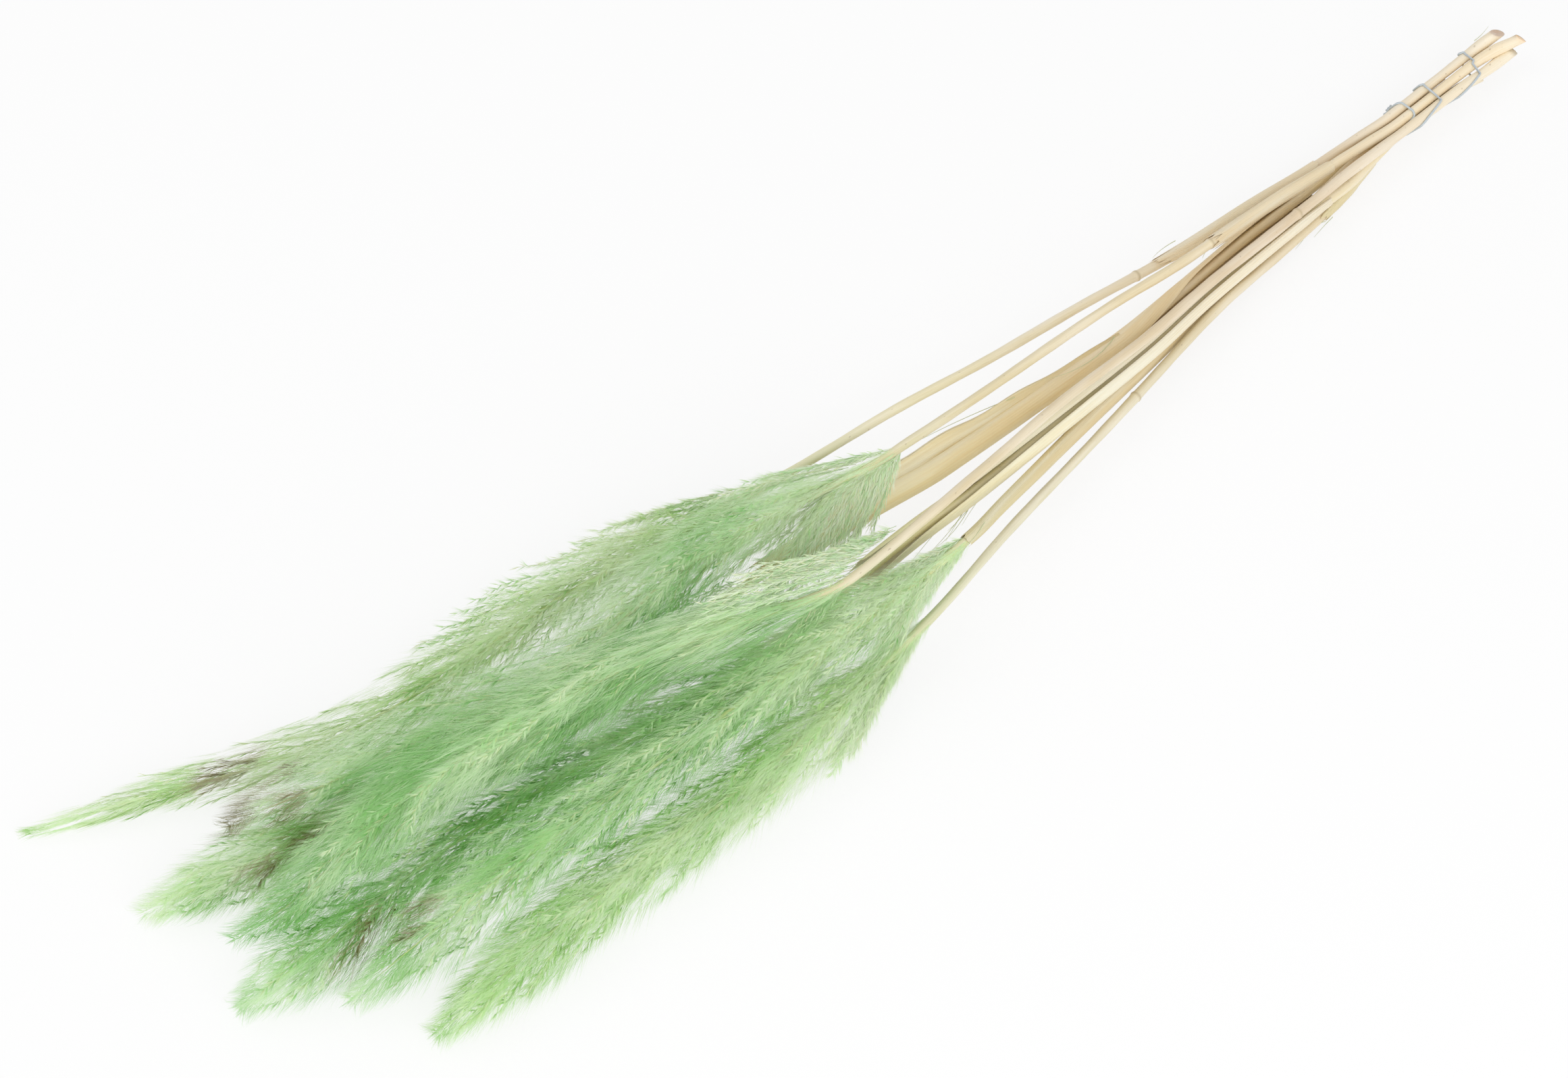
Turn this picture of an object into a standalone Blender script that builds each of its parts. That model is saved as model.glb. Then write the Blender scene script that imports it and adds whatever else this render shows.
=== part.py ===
"""Bunch of dried, dyed pampas grass lying on a surface.

Seven stalks are held near their cut ends by one elastic that is wound round them three times.
Each stalk carries one feathery plume, and five of them still wear the dry leaf sheath that
wrapped them while they grew. The bunch lies along X: plume tips at -X, cut ends at +X. The
surface it lies on is Z = 0, and the origin is under the middle of the bunch.

Routes and radii are written in millimetres and turned into metres where meshes are made.
"""
import math

import bmesh
import bpy

MM = 0.001                # scene units are metres

GAP = 0.4                 # clearance between pieces that touch on the real bunch
PLUME_GAP = 1.6           # clearance between two plumes, whose faces turn along their length
STATION = 20.0            # every long piece has a section at each multiple of this X
STEM_SIDES_RESOLUTION = 2     # bevel resolution that gives a stem eight sides

BUTT_RADIUS = 2.7         # stem at its cut end, past the elastic
TIED_RADIUS = 2.2         # stem inside the elastic
FREE_RADIUS = 2.3         # stem just clear of the elastic
NECK_RADIUS = 1.9         # stem where its plume begins
BUTT_X = 350.0            # stems are at their thickest from here to the cut
TIED_X = 330.0            # the elastic holds the stems between these two
HELD_X = 280.0
FREE_X = 250.0            # from here to its plume a stem thins

PLUME_START_RADIUS = 3.2  # a plume opens from little more than its stem
PLUME_TIP_RADIUS = 3.0
PLUME_OPENING = 60.0      # length over which a plume reaches its full radius
PLUME_FLATTEN = 0.92      # a lying plume is a little wider than it is high
PLUME_SIDES = 14
STEM_END_CLEARANCE = 1.0  # a stem stops this far short of the plume solid that carries on from it

SHEATH_WALL = 0.5
SHEATH_ARC_POINTS = 10
SHEATH_MOUTH = 25.0       # length over which a sheath opens from its node

ELASTIC_RADIUS = 0.6
ELASTIC_GAP = 0.4         # clearance from the elastic to the stems it is stretched over
ELASTIC_STEPS_PER_TURN = 24
ELASTIC_SIDES_RESOLUTION = 2  # bevel resolution that gives the elastic eight sides
ELASTIC_TOP_X = (331.0, 304.0, 286.0)     # where each turn crosses the top of the bundle
ELASTIC_START_ANGLE = -60.0               # from +Y, turning up over the bundle
ELASTIC_END_ANGLE = 1090.0
ELASTIC_END_DRIFT = 4.0                   # how far a turn would drift past the last crossing

# Each stalk: the route of its middle line from cut end to plume tip, the X where its plume
# begins, the plume's full radius and the length over which the plume thins to its tip.
STALKS = {
    1: {"route": [(362, -22, 16), (336, -20.6, 13.9), (285, -20.9, 13.4), (262, -19.2, 13),
                  (240, -17.4, 12.2), (200, -14.7, 15), (150, -12, 18), (100, -7, 22), (50, -2, 25),
                  (0, 4.5, 27), (-53, 11.5, 26), (-102, 22, 21), (-164, 33, 18), (-216, 36, 17),
                  (-257, 43, 15), (-283, 53, 13), (-329, 77, 9), (-366, 95, 5)],
        "plume_x": -53, "plume_radius": 19, "thinning": 130},
    2: {"route": [(365, -31, 15), (336, -25.9, 13.9), (285, -26, 13.4), (262, -25.2, 15.2),
                  (240, -24.5, 17.5), (200, -23, 22), (150, -23, 28), (100, -21.5, 34),
                  (50, -21.5, 39.5), (0, -21, 44), (-23, -20.5, 46), (-77, -10, 44),
                  (-124, -3, 42), (-178, -6, 40), (-235, 8, 36), (-277, 19, 33.5),
                  (-314, 34.5, 27)],
        "plume_x": -23, "plume_radius": 20, "thinning": 45},
    3: {"route": [(326, -18.7, 9.3), (285, -18.7, 9.1), (262, -20.3, 7.7), (240, -21.8, 6.2),
                  (200, -22, 7.5), (150, -25.5, 12), (100, -28, 15), (50, -27.2, 17.5),
                  (0, -25, 19), (-34, -20, 19), (-64, -16.3, 19), (-100, -13.5, 18),
                  (-135, -12.5, 18), (-195, -3.5, 17), (-252, 8.5, 16.5), (-307, 20.5, 15),
                  (-356, 34, 11)],
        "plume_x": -100, "plume_radius": 22, "thinning": 60},
    4: {"route": [(361, -32.2, 8.4), (340, -31.6, 10.9), (320, -31.1, 13.2), (285, -31, 13.4),
                  (262, -31.8, 16), (240, -32.8, 18.5), (220, -34.3, 20.7), (200, -35.4, 23), (150, -38.3, 28),
                  (100, -43.2, 34), (50, -45.8, 41), (0, -50.8, 47), (-47, -55, 52),
                  (-82, -57, 55), (-126, -44, 56), (-178, -26.5, 54), (-208, -21.5, 52),
                  (-264, -11.5, 46), (-313, -11, 34), (-340, -1.5, 20)],
        "plume_x": -82, "plume_radius": 20, "thinning": 60},
    5: {"route": [(340, -29.4, 6), (320, -28.5, 9), (285, -28.5, 9.1), (262, -31.2, 10.6),
                  (240, -34.3, 12), (200, -35.3, 15.5), (150, -37, 16.5), (100, -42.7, 22),
                  (50, -45.7, 27), (0, -46, 26.5), (-36, -44, 24.5), (-72, -43.5, 21.5),
                  (-109, -44.5, 19), (-158, -39.5, 17.5), (-217, -28.5, 17), (-278, -23, 16.5),
                  (-325, -23.5, 15), (-353, -21, 11)],
        "plume_x": -72, "plume_radius": 23, "thinning": 45},
    6: {"route": [(354, -24.8, 10), (336, -23.8, 9.3), (285, -23.6, 9.1), (262, -25.4, 8.8),
                  (240, -27.3, 8.5), (200, -31, 7), (150, -35.7, 8), (100, -42.9, 13.2),
                  (50, -50.5, 19.5), (0, -59, 27), (-24, -63.3, 31), (-75, -66, 36),
                  (-125, -61.5, 37), (-175, -59, 35), (-237, -54, 31), (-292, -50, 23),
                  (-322, -47, 13)],
        "plume_x": -24, "plume_radius": 21, "thinning": 50},
    7: {"route": [(319, -26, 4.9), (285, -26, 4.9), (262, -29.2, 4.9), (240, -33.2, 4.9),
                  (200, -36.8, 6), (150, -41.8, 11), (100, -49.4, 12), (50, -57, 14),
                  (0, -64.6, 16), (-57, -74.4, 18), (-96, -78, 17.5), (-143, -80, 17),
                  (-192, -78, 16), (-240, -76, 15), (-274, -77, 13), (-307, -77, 9)],
        "plume_x": -57, "plume_radius": 20, "thinning": 50},
}

# Each sheath: the X of the node it grows from, the X of its torn end, its radius and its radius
# at the torn end, how far round the stem it wraps and which way it is split open (both in
# degrees, 0 facing +Y, 90 facing up).
SHEATHS = {
    1: {"from_x": 240, "to_x": 140, "radius": 3.1, "end": 3.1, "wrap": 320, "split": 250},
    2: {"from_x": 240, "to_x": 160, "radius": 3.1, "end": 3.1, "wrap": 320, "split": 270},
    3: {"from_x": 232, "to_x": -92, "radius": 4.0, "end": 5.3, "wrap": 280, "split": 60},
    5: {"from_x": 228, "to_x": -66, "radius": 3.9, "end": 5.6, "wrap": 300, "split": 300},
    6: {"from_x": 226, "to_x": -18, "radius": 3.3, "end": 3.6, "wrap": 310, "split": 280},
}

# The blade that still hangs on the widest sheath: X, distance from the stem in Y, height above
# it, and width, from where it leaves the sheath to its cut end.
LEAF_STALK = 3
LEAF = [(96, 5.0, 2.6, 1.6), (60, 5.6, 3.4, 3.4), (25, 6.4, 4.0, 4.6), (-10, 7.6, 4.2, 5.6),
        (-40, 8.6, 4.2, 5.0), (-56, 9.2, 4.0, 2.5)]
LEAF_FOLD = 0.28          # depth of the blade's fold, as a share of its width
LEAF_WALL = 0.5

COLOURS = {
    "stem": ((0.78, 0.66, 0.46, 1.0), 0.55),
    "sheath": ((0.82, 0.68, 0.38, 1.0), 0.6),
    "leaf": ((0.84, 0.7, 0.4, 1.0), 0.6),
    "plume": ((0.36, 0.66, 0.4, 1.0), 0.85),
    "elastic": ((0.6, 0.66, 0.68, 1.0), 0.5),
}


def clear_scene():
    """Remove whatever the opened file holds."""
    for thing in list(bpy.data.objects):
        bpy.data.objects.remove(thing)


def material(name, kind):
    """One plain material with the colour and roughness of its kind of piece."""
    colour, roughness = COLOURS[kind]
    made = bpy.data.materials.new(name)
    made.use_nodes = True
    shader = made.node_tree.nodes["Principled BSDF"]
    shader.inputs["Base Color"].default_value = colour
    shader.inputs["Roughness"].default_value = roughness
    shader.inputs["Metallic"].default_value = 0.0
    return made


def slope(route, k, axis):
    """Slope of a route at its point k: between those of its two spans, or level at a turn."""
    spans = [(route[i + 1][axis] - route[i][axis]) / (route[i + 1][0] - route[i][0])
             for i in (k - 1, k) if 0 <= i < len(route) - 1]
    low, high = min(spans), max(spans)
    return 0.0 if low * high <= 0 else 2 * low * high / (low + high)


def along(route, x):
    """(y, z) of a smooth line through the route's points, at x."""
    last = len(route) - 2
    k = next((i for i in range(last) if x > route[i + 1][0]), last)
    span = route[k + 1][0] - route[k][0]
    t = min(max((x - route[k][0]) / span, 0.0), 1.0)
    place = []
    for axis in (1, 2):
        a, b = route[k][axis], route[k + 1][axis]
        leaving, arriving = slope(route, k, axis) * span, slope(route, k + 1, axis) * span
        place.append(a + t * leaving + t * t * (3 * (b - a) - 2 * leaving - arriving)
                     + t ** 3 * (2 * (a - b) + leaving + arriving))
    return place


def blend(t):
    """Smooth step from 0 to 1."""
    t = min(max(t, 0.0), 1.0)
    return t * t * (3 - 2 * t)


def stem_radius(stalk, x):
    """Radius of a stalk's stem, thickest at the cut end and thinnest at the plume."""
    if x > TIED_X:
        return TIED_RADIUS + (BUTT_RADIUS - TIED_RADIUS) * blend((x - TIED_X) / (BUTT_X - TIED_X))
    if x > FREE_X:
        return FREE_RADIUS + (TIED_RADIUS - FREE_RADIUS) * blend((x - FREE_X) / (HELD_X - FREE_X))
    neck_x = STALKS[stalk]["plume_x"]
    share = min(max((x - neck_x) / (FREE_X - neck_x), 0.0), 1.0)
    return NECK_RADIUS + (FREE_RADIUS - NECK_RADIUS) * share


def sheath_radius(stalk, x):
    """Outer radius of the sheath on a stalk at x, or 0 where there is none."""
    sheath = SHEATHS.get(stalk)
    if not sheath or not sheath["to_x"] <= x <= sheath["from_x"]:
        return 0.0
    snug = stem_radius(stalk, x) + GAP + SHEATH_WALL
    share = (sheath["from_x"] - x) / (sheath["from_x"] - sheath["to_x"])
    loose = max(sheath["radius"] + (sheath["end"] - sheath["radius"]) * share ** 2, snug)
    return snug + (loose - snug) * blend((sheath["from_x"] - x) / SHEATH_MOUTH)


def plume_radius(stalk, x):
    """Full radius of a stalk's plume at x, before its neighbours press on it."""
    data = STALKS[stalk]
    tip_x = data["route"][-1][0]
    opened = blend((data["plume_x"] - x) / PLUME_OPENING)
    thinned = math.sin(math.pi / 2 * min(max((x - tip_x) / data["thinning"], 0.0), 1.0))
    grown = PLUME_START_RADIUS + (data["plume_radius"] - PLUME_START_RADIUS) * opened
    return PLUME_TIP_RADIUS + (grown - PLUME_TIP_RADIUS) * thinned


def neighbour_walls(stalk, x):
    """Flat walls that stop a plume at x: the surface below it and every stalk beside it.

    Two plumes share the room between them by their radii; a stem keeps all of its own.
    """
    y, z = along(STALKS[stalk]["route"], x)
    radius = plume_radius(stalk, x)
    walls = [((0.0, -1.0), z)]
    for other, data in STALKS.items():
        if other == stalk:
            continue
        tip_x = data["route"][-1][0]
        other_x = min(max(x, tip_x), data["route"][0][0])
        other_y, other_z = along(data["route"], other_x)
        distance = math.hypot(other_y - y, other_z - z)
        toward = ((other_y - y) / distance, (other_z - z) / distance)
        if x <= data["plume_x"]:
            other_radius = plume_radius(other, other_x)
            reach = distance * radius / (radius + other_radius) - PLUME_GAP / 2
        else:
            other_radius = max(stem_radius(other, other_x), sheath_radius(other, other_x))
            reach = distance - other_radius - GAP
        walls.append((toward, min(reach, distance - PLUME_TIP_RADIUS - GAP)))
    return walls


def plume_section(stalk, x):
    """Ring of points round a plume at x, cut back to its neighbours' walls."""
    y, z = along(STALKS[stalk]["route"], x)
    radius = plume_radius(stalk, x)
    walls = neighbour_walls(stalk, x)
    ring = []
    for k in range(PLUME_SIDES):
        angle = 2 * math.pi * (k + 0.5) / PLUME_SIDES
        out = (math.cos(angle), math.sin(angle))
        reach = radius * (1.0 - (1.0 - PLUME_FLATTEN) * out[1] ** 2)
        for normal, distance in walls:
            facing = normal[0] * out[0] + normal[1] * out[1]
            if facing > 0:
                reach = min(reach, distance / facing)
        ring.append((x, y + reach * out[0], max(z + reach * out[1], 0.0)))
    return ring


def stations(start_x, end_x):
    """X of every section between two ends: the ends and the shared stations between them."""
    high, low = max(start_x, end_x), min(start_x, end_x)
    first = math.floor((high - STATION / 4) / STATION)
    last = math.ceil((low + STATION / 4) / STATION)
    inner = [STATION * k for k in range(first, last - 1, -1)]
    return [high] + inner + [low]


def link(collection, name, data, kind):
    """Object from curve or mesh data, in the bunch's collection, with its own material."""
    data.materials.append(material(name, kind))
    made = bpy.data.objects.new(name, data)
    collection.objects.link(made)
    return made


def loft(name, rings, closed):
    """Mesh through rings of points: a capped solid if closed, else an open strip."""
    mesh = bpy.data.meshes.new(name)
    build = bmesh.new()
    rows = [[build.verts.new([value * MM for value in point]) for point in ring] for ring in rings]
    count = len(rings[0])
    for low, high in zip(rows, rows[1:]):
        for k in range(count if closed else count - 1):
            following = (k + 1) % count
            build.faces.new((low[k], low[following], high[following], high[k]))
    if closed:
        build.faces.new(reversed(rows[0]))
        build.faces.new(rows[-1])
    bmesh.ops.recalc_face_normals(build, faces=build.faces)
    build.to_mesh(mesh)
    build.free()
    mesh.shade_smooth()
    return mesh


def tube(name, points, radii, resolution):
    """Round rod along points, with filled ends and its radius given at each point."""
    curve = bpy.data.curves.new(name, "CURVE")
    curve.dimensions = "3D"
    curve.bevel_depth = MM
    curve.bevel_resolution = resolution
    curve.use_fill_caps = True
    spline = curve.splines.new("POLY")
    spline.points.add(len(points) - 1)
    for point, place, radius in zip(spline.points, points, radii):
        point.co = (*[value * MM for value in place], 1.0)
        point.radius = radius
    return curve


def make_stem(collection, stalk):
    """Stem from its cut end to just short of its plume."""
    data = STALKS[stalk]
    xs = stations(data["route"][0][0], data["plume_x"] + STEM_END_CLEARANCE)
    points = [(x, *along(data["route"], x)) for x in xs]
    radii = [stem_radius(stalk, x) for x in xs]
    name = f"stem_{stalk}"
    link(collection, name, tube(name, points, radii, STEM_SIDES_RESOLUTION), "stem")


def make_plume(collection, stalk):
    """Outer shape of a plume, pressed against its neighbours and flat where it lies."""
    data = STALKS[stalk]
    rings = [plume_section(stalk, x) for x in stations(data["plume_x"], data["route"][-1][0])]
    name = f"plume_{stalk}"
    link(collection, name, loft(name, rings, closed=True), "plume")


def make_sheath(collection, stalk):
    """Dry leaf sheath: a split tube that wraps the stem and thins to a torn end."""
    sheath = SHEATHS[stalk]
    route = STALKS[stalk]["route"]
    half_wrap = math.radians(sheath["wrap"]) / 2
    back = math.radians(sheath["split"]) + math.pi
    rings = []
    for x in stations(sheath["from_x"], sheath["to_x"]):
        y, z = along(route, x)
        radius = sheath_radius(stalk, x)
        ring = []
        for k in range(SHEATH_ARC_POINTS):
            angle = back - half_wrap + 2 * half_wrap * k / (SHEATH_ARC_POINTS - 1)
            ring.append((x, y + radius * math.cos(angle), z + radius * math.sin(angle)))
        rings.append(ring)
    name = f"sheath_{stalk}"
    made = link(collection, name, loft(name, rings, closed=False), "sheath")
    thicken(made, SHEATH_WALL)


def thicken(shell, wall):
    """Give an open surface its wall, measured inwards from the surface."""
    solidify = shell.modifiers.new("Wall", "SOLIDIFY")
    solidify.thickness = wall * MM
    solidify.offset = -1.0


def make_leaf(collection):
    """Folded leaf blade beside the widest sheath."""
    route = STALKS[LEAF_STALK]["route"]
    rings = []
    for x, out, up, width in LEAF:
        y, z = along(route, x)
        fold = LEAF_FOLD * width
        rings.append([(x, y + out - width / 2, z + up), (x, y + out, z + up - fold),
                      (x, y + out + width / 2, z + up)])
    made = link(collection, "leaf_blade", loft("leaf_blade", rings, closed=False), "leaf")
    thicken(made, LEAF_WALL)


def elastic_x(angle):
    """X of the elastic at an angle: it steps to its next turn as it passes under the bundle."""
    turn = (angle - 90.0) / 360.0
    last = len(ELASTIC_TOP_X) - 1
    if turn <= 0:
        return ELASTIC_TOP_X[0] - ELASTIC_END_DRIFT * turn
    if turn >= last:
        return ELASTIC_TOP_X[last] - ELASTIC_END_DRIFT * (turn - last)
    k = int(turn)
    return ELASTIC_TOP_X[k] + (ELASTIC_TOP_X[k + 1] - ELASTIC_TOP_X[k]) * blend(turn - k)


def elastic_point(angle):
    """Middle of the elastic where it is stretched over the outermost stem in one direction."""
    x = elastic_x(angle)
    out = (math.cos(math.radians(angle)), math.sin(math.radians(angle)))
    standing = []
    for stalk, data in STALKS.items():
        if x < data["route"][0][0] + ELASTIC_RADIUS:
            y, z = along(data["route"], x)
            radius = stem_radius(stalk, x) + ELASTIC_GAP + ELASTIC_RADIUS
            standing.append((y * out[0] + z * out[1] + radius, y, z, radius))
    _, y, z, radius = max(standing)
    return x, y + radius * out[0], z + radius * out[1]


def make_elastic(collection):
    """One thin elastic, wound three times round the stems."""
    steps = round(ELASTIC_STEPS_PER_TURN * (ELASTIC_END_ANGLE - ELASTIC_START_ANGLE) / 360)
    points = []
    for k in range(steps + 1):
        angle = ELASTIC_START_ANGLE + (ELASTIC_END_ANGLE - ELASTIC_START_ANGLE) * k / steps
        points.append(elastic_point(angle))
    radii = [ELASTIC_RADIUS] * len(points)
    link(collection, "elastic_tie", tube("elastic_tie", points, radii, ELASTIC_SIDES_RESOLUTION),
         "elastic")


def main():
    clear_scene()
    bunch = bpy.data.collections.new("pampas_grass_bunch")
    bpy.context.scene.collection.children.link(bunch)
    for stalk in STALKS:
        make_stem(bunch, stalk)
        make_plume(bunch, stalk)
    for stalk in SHEATHS:
        make_sheath(bunch, stalk)
    make_leaf(bunch)
    make_elastic(bunch)


main()
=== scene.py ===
# %% [markdown]
# # A bunch of dyed pampas grass
#
# Seven dried stalks lie on a pale surface, tied near their cut ends by a thin elastic. Each one
# carries a plume that was dyed a soft mint green. This lesson dresses the plain solid model: it
# keeps every size and place, and gives each piece the shape and finish that the eye sees.
#
# The solid model is loaded first, as a fixed frame. Everything made here rides on it.

# %% Load the frame
import math

import bpy
import numpy as np
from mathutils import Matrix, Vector


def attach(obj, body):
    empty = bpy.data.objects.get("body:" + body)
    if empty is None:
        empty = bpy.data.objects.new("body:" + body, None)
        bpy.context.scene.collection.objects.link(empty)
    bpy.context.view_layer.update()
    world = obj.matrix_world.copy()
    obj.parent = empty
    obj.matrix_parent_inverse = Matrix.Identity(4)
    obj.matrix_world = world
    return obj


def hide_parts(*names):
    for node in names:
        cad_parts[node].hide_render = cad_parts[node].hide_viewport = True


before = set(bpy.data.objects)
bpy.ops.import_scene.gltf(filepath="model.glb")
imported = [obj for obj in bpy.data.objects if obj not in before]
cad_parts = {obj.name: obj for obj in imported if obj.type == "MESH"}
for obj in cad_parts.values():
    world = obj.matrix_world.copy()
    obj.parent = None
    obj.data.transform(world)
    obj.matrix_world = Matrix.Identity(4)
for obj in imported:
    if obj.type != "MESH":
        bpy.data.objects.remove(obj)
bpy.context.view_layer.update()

# %% [markdown]
# ## Camera, light and surface
#
# The bunch is looked down on from beside its plumes, so that it runs from the lower left to the
# upper right. A long lens keeps the plumes and the cut ends at much the same scale.

# %% Place the camera
LOOK_AT = Vector((-0.062, 0.002, 0.0))
DISTANCE = 1.24           # metres from there to the camera
TOWARDS_CAMERA = Vector((-0.3912, -0.4195, 0.8192)).normalized()
camera = bpy.data.objects.new("camera", bpy.data.cameras.new("camera"))
camera.data.lens = 70.0
camera.data.sensor_width = 36.0
camera.location = LOOK_AT + DISTANCE * TOWARDS_CAMERA
camera.rotation_euler = TOWARDS_CAMERA.to_track_quat("Z", "Y").to_euler()
bpy.context.scene.collection.objects.link(camera)
bpy.context.scene.camera = camera
bpy.context.scene.view_settings.view_transform = "Standard"
print("camera at", [round(v, 3) for v in camera.location])

# %% [markdown]
# Every finish is a small tree of shader nodes. Writing the maths of a pattern as ordinary Python
# keeps it readable, so one class wraps a socket and turns +, -, * and / into Math nodes, and a
# second one builds the tree of a finish.


# %% Wrap a socket so that it answers to arithmetic
class Wire:
    """One output socket of a finish."""

    def __init__(self, finish, socket):
        self.finish = finish
        self.socket = socket

    def out(self, name):
        """Another output of the same node."""
        return Wire(self.finish, self.socket.node.outputs[name])

    def __add__(self, other):
        return self.finish.maths("ADD", self, other)

    __radd__ = __add__

    def __sub__(self, other):
        return self.finish.maths("SUBTRACT", self, other)

    def __rsub__(self, other):
        return self.finish.maths("SUBTRACT", other, self)

    def __mul__(self, other):
        return self.finish.maths("MULTIPLY", self, other)

    __rmul__ = __mul__

    def __truediv__(self, other):
        return self.finish.maths("DIVIDE", self, other)

    def __pow__(self, other):
        return self.finish.maths("POWER", self, other)


# %% Build the node tree of a finish
class Finish:
    """A material, or a world, whose tree is built one node at a time."""

    def __init__(self, name, kind="Material"):
        blocks = bpy.data.worlds if kind == "World" else bpy.data.materials
        self.kind = kind
        self.material = blocks.new(name)
        self.material.use_nodes = True
        self.tree = self.material.node_tree
        self.tree.nodes.clear()

    def node(self, kind, settings=None, inputs=None, output=0):
        """Add a node: its settings first, then the values or links of its sockets."""
        made = self.tree.nodes.new("ShaderNode" + kind)
        for name, value in (settings or {}).items():
            if name == "stops":
                ramp = made.color_ramp.elements
                while len(ramp) < len(value):
                    ramp.new(1.0)
                for stop, (place, colour) in zip(ramp, value):
                    stop.position = place
                    stop.color = (*colour, 1.0)
            elif name == "interpolation":
                made.color_ramp.interpolation = value
            else:
                setattr(made, name, value)
        for name, value in (inputs or {}).items():
            if isinstance(value, Wire):
                self.tree.links.new(value.socket, made.inputs[name])
            else:
                made.inputs[name].default_value = value
        return Wire(self, made.outputs[output])

    def maths(self, operation, first, second=0.0, clamp=False):
        """A Math node on one or two values."""
        return self.node("Math", {"operation": operation, "use_clamp": clamp}, {0: first, 1: second})

    def mix(self, share, first, second, blend="MIX"):
        """Mix two colours: first where share is 0, second where it is 1."""
        settings = {"data_type": "RGBA", "blend_type": blend}
        colours = [c if isinstance(c, Wire) else (*c, 1.0) for c in (first, second)]
        return self.node("Mix", settings, {0: share, 6: colours[0], 7: colours[1]}, output=2)

    def blend_shaders(self, share, first, second):
        """Mix two shaders: first where share is 0, second where it is 1."""
        return self.node("MixShader", None, {0: share, 1: first, 2: second})

    def map_place(self):
        """The place on a piece's flat map."""
        return self.node("UVMap", {"uv_map": "OFBake"})

    def noise(self, place, scale, detail, shift=(0.0, 0.0, 0.0), **more):
        """Noise on the flat map, stretched by one scale along it and one across it."""
        spot = self.node("Mapping", None, {"Vector": place, "Scale": (*scale, 1.0), "Location": shift})
        return self.node("TexNoise", {"noise_dimensions": "2D"},
                         {"Vector": spot, "Scale": 1.0, "Detail": detail, **more})

    def rise(self, value, floor, gain):
        """0 where a value is below a floor, and above it a climb to 1."""
        return self.maths("MULTIPLY", value - floor, gain, clamp=True)

    def bands(self, colours, place):
        """Equal bands of colour with hard borders."""
        stops = [(k / len(colours), colour) for k, colour in enumerate(colours)]
        return self.node("ValToRGB", {"stops": stops, "interpolation": "CONSTANT"}, {0: place})

    def done(self, shader):
        """Send the finished shader to the output."""
        end = self.tree.nodes.new("ShaderNodeOutput" + self.kind)
        self.tree.links.new(shader.socket, end.inputs["Surface"])
        return self.material


# %% [markdown]
# The surface is a wide white floor. Seen by the camera it is mostly even white, with a small
# share of real diffuse white in it, so that the shadow under the bunch stays as a soft hint.

# %% Make the floor
WHITE = (1.0, 1.0, 1.0, 1.0)
EVEN_SHARE = 0.8          # of what the camera sees of the floor, the rest is lit by the lamps
FLOOR_HALF = 6.0          # metres
FLOOR_DROP = 0.0004       # metres, so that no piece lies exactly in it


def looked_at(finish):
    """1 for what is seen directly, in a gloss or through something clear, 0 for the light it gives."""
    seen, shine, through = [finish.node("LightPath", None, None, f"Is {ray} Ray")
                            for ray in ("Camera", "Glossy", "Transmission")]
    return finish.maths("MAXIMUM", seen, finish.maths("MAXIMUM", shine, through))


def floor_finish():
    finish = Finish("white_surface")
    lit = finish.node("BsdfDiffuse", None, {"Color": (0.93, 0.93, 0.93, 1.0)})
    even = finish.node("Emission", None, {"Color": WHITE, "Strength": 1.0})
    return finish.done(finish.blend_shaders(looked_at(finish) * EVEN_SHARE, lit, even))


floor_mesh = bpy.data.meshes.new("floor")
floor_corners = [(x * FLOOR_HALF, y * FLOOR_HALF, 0) for x, y in ((-1, -1), (1, -1), (1, 1), (-1, 1))]
floor_mesh.from_pydata(floor_corners, [], [(0, 1, 2, 3)])
floor_mesh.materials.append(floor_finish())
floor = bpy.data.objects.new("floor", floor_mesh)
floor.location.z = -FLOOR_DROP
bpy.context.scene.collection.objects.link(floor)
print("floor made")

# %% [markdown]
# Soft light comes from all round. One large lamp stands high on the left of the view, a weak one
# opposite it, and a third stands low on the camera's side, so that hanging silk is lit as well.
# Together they show a matt card at about its own colour: 12 to 16 % brighter where it faces the
# camera, and somewhat darker where it lies flat beside the bunch, in its shade.

# %% Set the world light and the lamps
WORLD_STRENGTH = 0.65
studio = Finish("studio", "World")
light = studio.node("Background", None, {"Color": WHITE, "Strength": WORLD_STRENGTH})
backdrop = studio.node("Background", None, {"Color": WHITE, "Strength": 1.0})
bpy.context.scene.world = studio.done(studio.blend_shaders(looked_at(studio), light, backdrop))


def add_lamp(name, place, size, power):
    """A square area lamp aimed at the bunch."""
    lamp = bpy.data.lights.new(name, "AREA")
    lamp.shape = "SQUARE"
    lamp.size = size
    lamp.energy = power
    made = bpy.data.objects.new(name, lamp)
    made.location = place
    made.rotation_euler = Vector(place).to_track_quat("Z", "Y").to_euler()
    bpy.context.scene.collection.objects.link(made)


add_lamp("lamp_left", (-0.9, 0.9, 1.8), 1.6, 8.5)
add_lamp("lamp_right", (0.9, -0.6, 2.0), 1.6, 2.0)
add_lamp("lamp_front", (-0.6, -1.3, 0.8), 1.4, 13.0)
print("world light and three lamps")

# %% [markdown]
# ## The stalks
#
# Each stalk is one smooth line from its cut end, through its stem, to the tip of its plume. The
# same few guide points that shaped the solid model shape the fine one, in millimetres.

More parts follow.
